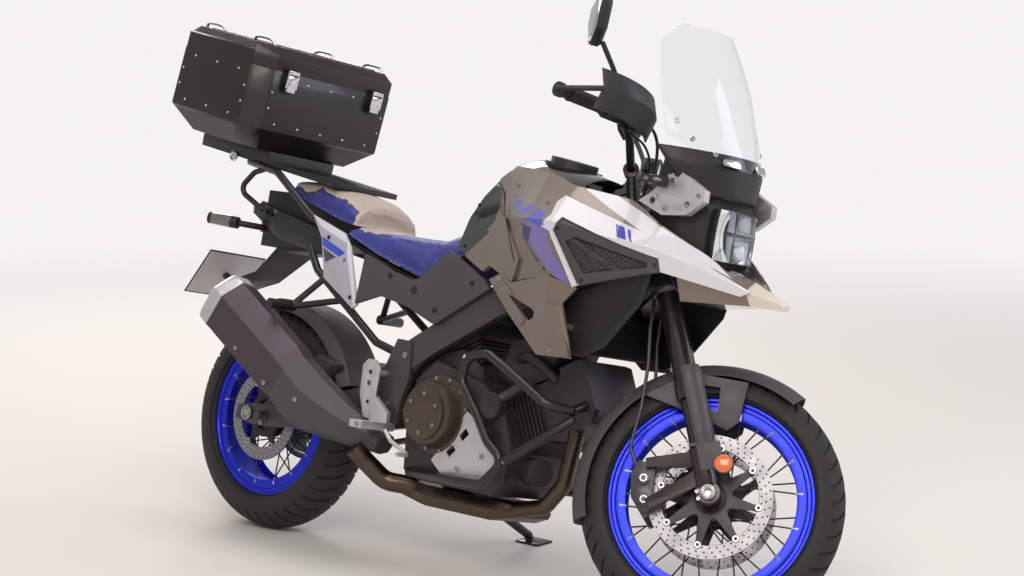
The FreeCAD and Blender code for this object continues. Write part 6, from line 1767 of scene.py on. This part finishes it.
@dataclass
class Studio:
    """Pale floor, soft light and the camera at the photograph's angle."""

    camera_place: tuple[float, float, float] = (4.5526, -4.8828, 1.7245)
    heading: float = 2.317
    tilt: float = -0.146
    lens_mm: float = 87.16
    floor_radius: float = 40.0
    floor_colour: str = "#d6d2cf"

    def build(self) -> None:
        """Makes the floor, the world, the lamps and the camera."""
        self.floor()
        self.world()
        self.lamps()
        self.camera()

    def floor(self) -> None:
        """A wide pale floor that takes the shadow."""
        bm = bmesh.new()
        bmesh.ops.create_circle(bm, cap_ends=True, segments=96, radius=self.floor_radius)
        mesh = bpy.data.meshes.new("floor")
        bm.to_mesh(mesh)
        bm.free()
        floor = linked("floor", mesh)
        material = bpy.data.materials.new("pale_studio_floor")
        material.use_nodes = True
        tree = material.node_tree
        shader = tree.nodes["Principled BSDF"]
        where = add_node(tree, "ShaderNodeTexCoord").outputs["Object"]
        reach = add_node(tree, "ShaderNodeVectorMath", {"operation": "LENGTH"}, {0: where}).outputs["Value"]
        fade = add_node(tree, "ShaderNodeMapRange", {"interpolation_type": "SMOOTHSTEP"}, {
            "Value": reach, "From Min": 2.5, "From Max": 7.0})
        glow = add_node(tree, "ShaderNodeEmission", {}, {"Color": linear("#f4f3f2"), "Strength": 1.0})
        mixed = add_node(tree, "ShaderNodeMixShader", {}, {
            "Fac": fade.outputs["Result"], 1: shader.outputs["BSDF"], 2: glow.outputs["Emission"]})
        tree.links.new(mixed.outputs["Shader"], tree.nodes["Material Output"].inputs["Surface"])
        shader.inputs["Base Color"].default_value = linear(self.floor_colour)
        shader.inputs["Roughness"].default_value = 0.9
        mesh.materials.append(material)

    def world(self) -> None:
        """An even pale surround."""
        world = bpy.data.worlds.new("studio")
        world.use_nodes = True
        tree = world.node_tree
        background = tree.nodes["Background"]
        background.inputs["Color"].default_value = linear("#e9e7e6")
        background.inputs["Strength"].default_value = 0.62
        seen = add_node(tree, "ShaderNodeBackground", {}, {"Color": linear("#f4f3f2"), "Strength": 1.0})
        rays = add_node(tree, "ShaderNodeLightPath")
        shown = add_node(tree, "ShaderNodeMath", {"operation": "MAXIMUM"}, {
            0: rays.outputs["Is Camera Ray"], 1: rays.outputs["Is Transmission Ray"]})
        mixed = add_node(tree, "ShaderNodeMixShader", {}, {
            "Fac": shown.outputs[0], 1: background.outputs["Background"], 2: seen.outputs["Background"]})
        tree.links.new(mixed.outputs["Shader"], tree.nodes["World Output"].inputs["Surface"])
        bpy.context.scene.world = world

    def lamps(self) -> None:
        """Large soft lamps: a key from the front right, a fill, a top light and one behind."""
        rows = (
            # name, place, width, height, watts, colour
            ("key", (3.2, -4.2, 4.4), 3.4, 2.6, 175, "#fff4e8"),
            ("top", (0.0, -0.3, 5.0), 4.5, 2.4, 92, "#ffffff"),
            ("fill", (4.2, 3.6, 3.0), 3.0, 2.4, 90, "#eef4ff"),
            ("back", (-4.6, 2.6, 3.4), 3.2, 2.2, 150, "#fff8f0"),
        )
        for name, place, width, height, watts, colour in rows:
            lamp = bpy.data.lights.new(name, "AREA")
            lamp.shape = "RECTANGLE"
            lamp.size, lamp.size_y, lamp.energy = width, height, watts
            lamp.color = linear(colour)[:3]
            light = linked(name, lamp)
            light.location = place
            aim = Vector((0.0, 0.0, 0.7)) - Vector(place)
            light.rotation_euler = aim.to_track_quat("-Z", "Y").to_euler()

    def camera(self) -> None:
        """The camera of the photograph's view."""
        data = bpy.data.cameras.new("camera")
        data.lens = self.lens_mm
        data.clip_end = 200
        camera = linked("camera", data)
        camera.location = self.camera_place
        level = math.cos(self.tilt)
        aim = Vector((math.cos(self.heading) * level, math.sin(self.heading) * level, math.sin(self.tilt)))
        camera.rotation_euler = aim.to_track_quat("-Z", "Y").to_euler()
        bpy.context.scene.camera = camera
        bpy.context.scene.view_settings.view_transform = "Standard"


def main() -> None:
    """Builds the studio and every sub-assembly."""
    logging.basicConfig(level=logging.INFO, format="%(name)s: %(message)s")
    Studio().build()
    for finish, nodes in DRESS.items():
        for node in nodes:
            dress(node, finish.build(node_space(node)))
            LOG.info("dressed %s", node)
    for assembly in (Wheels(), Fork(), Cockpit(), Body(), Lamps(), Seats(), Luggage()):
        assembly.build()


if __name__ == "__main__":
    main()
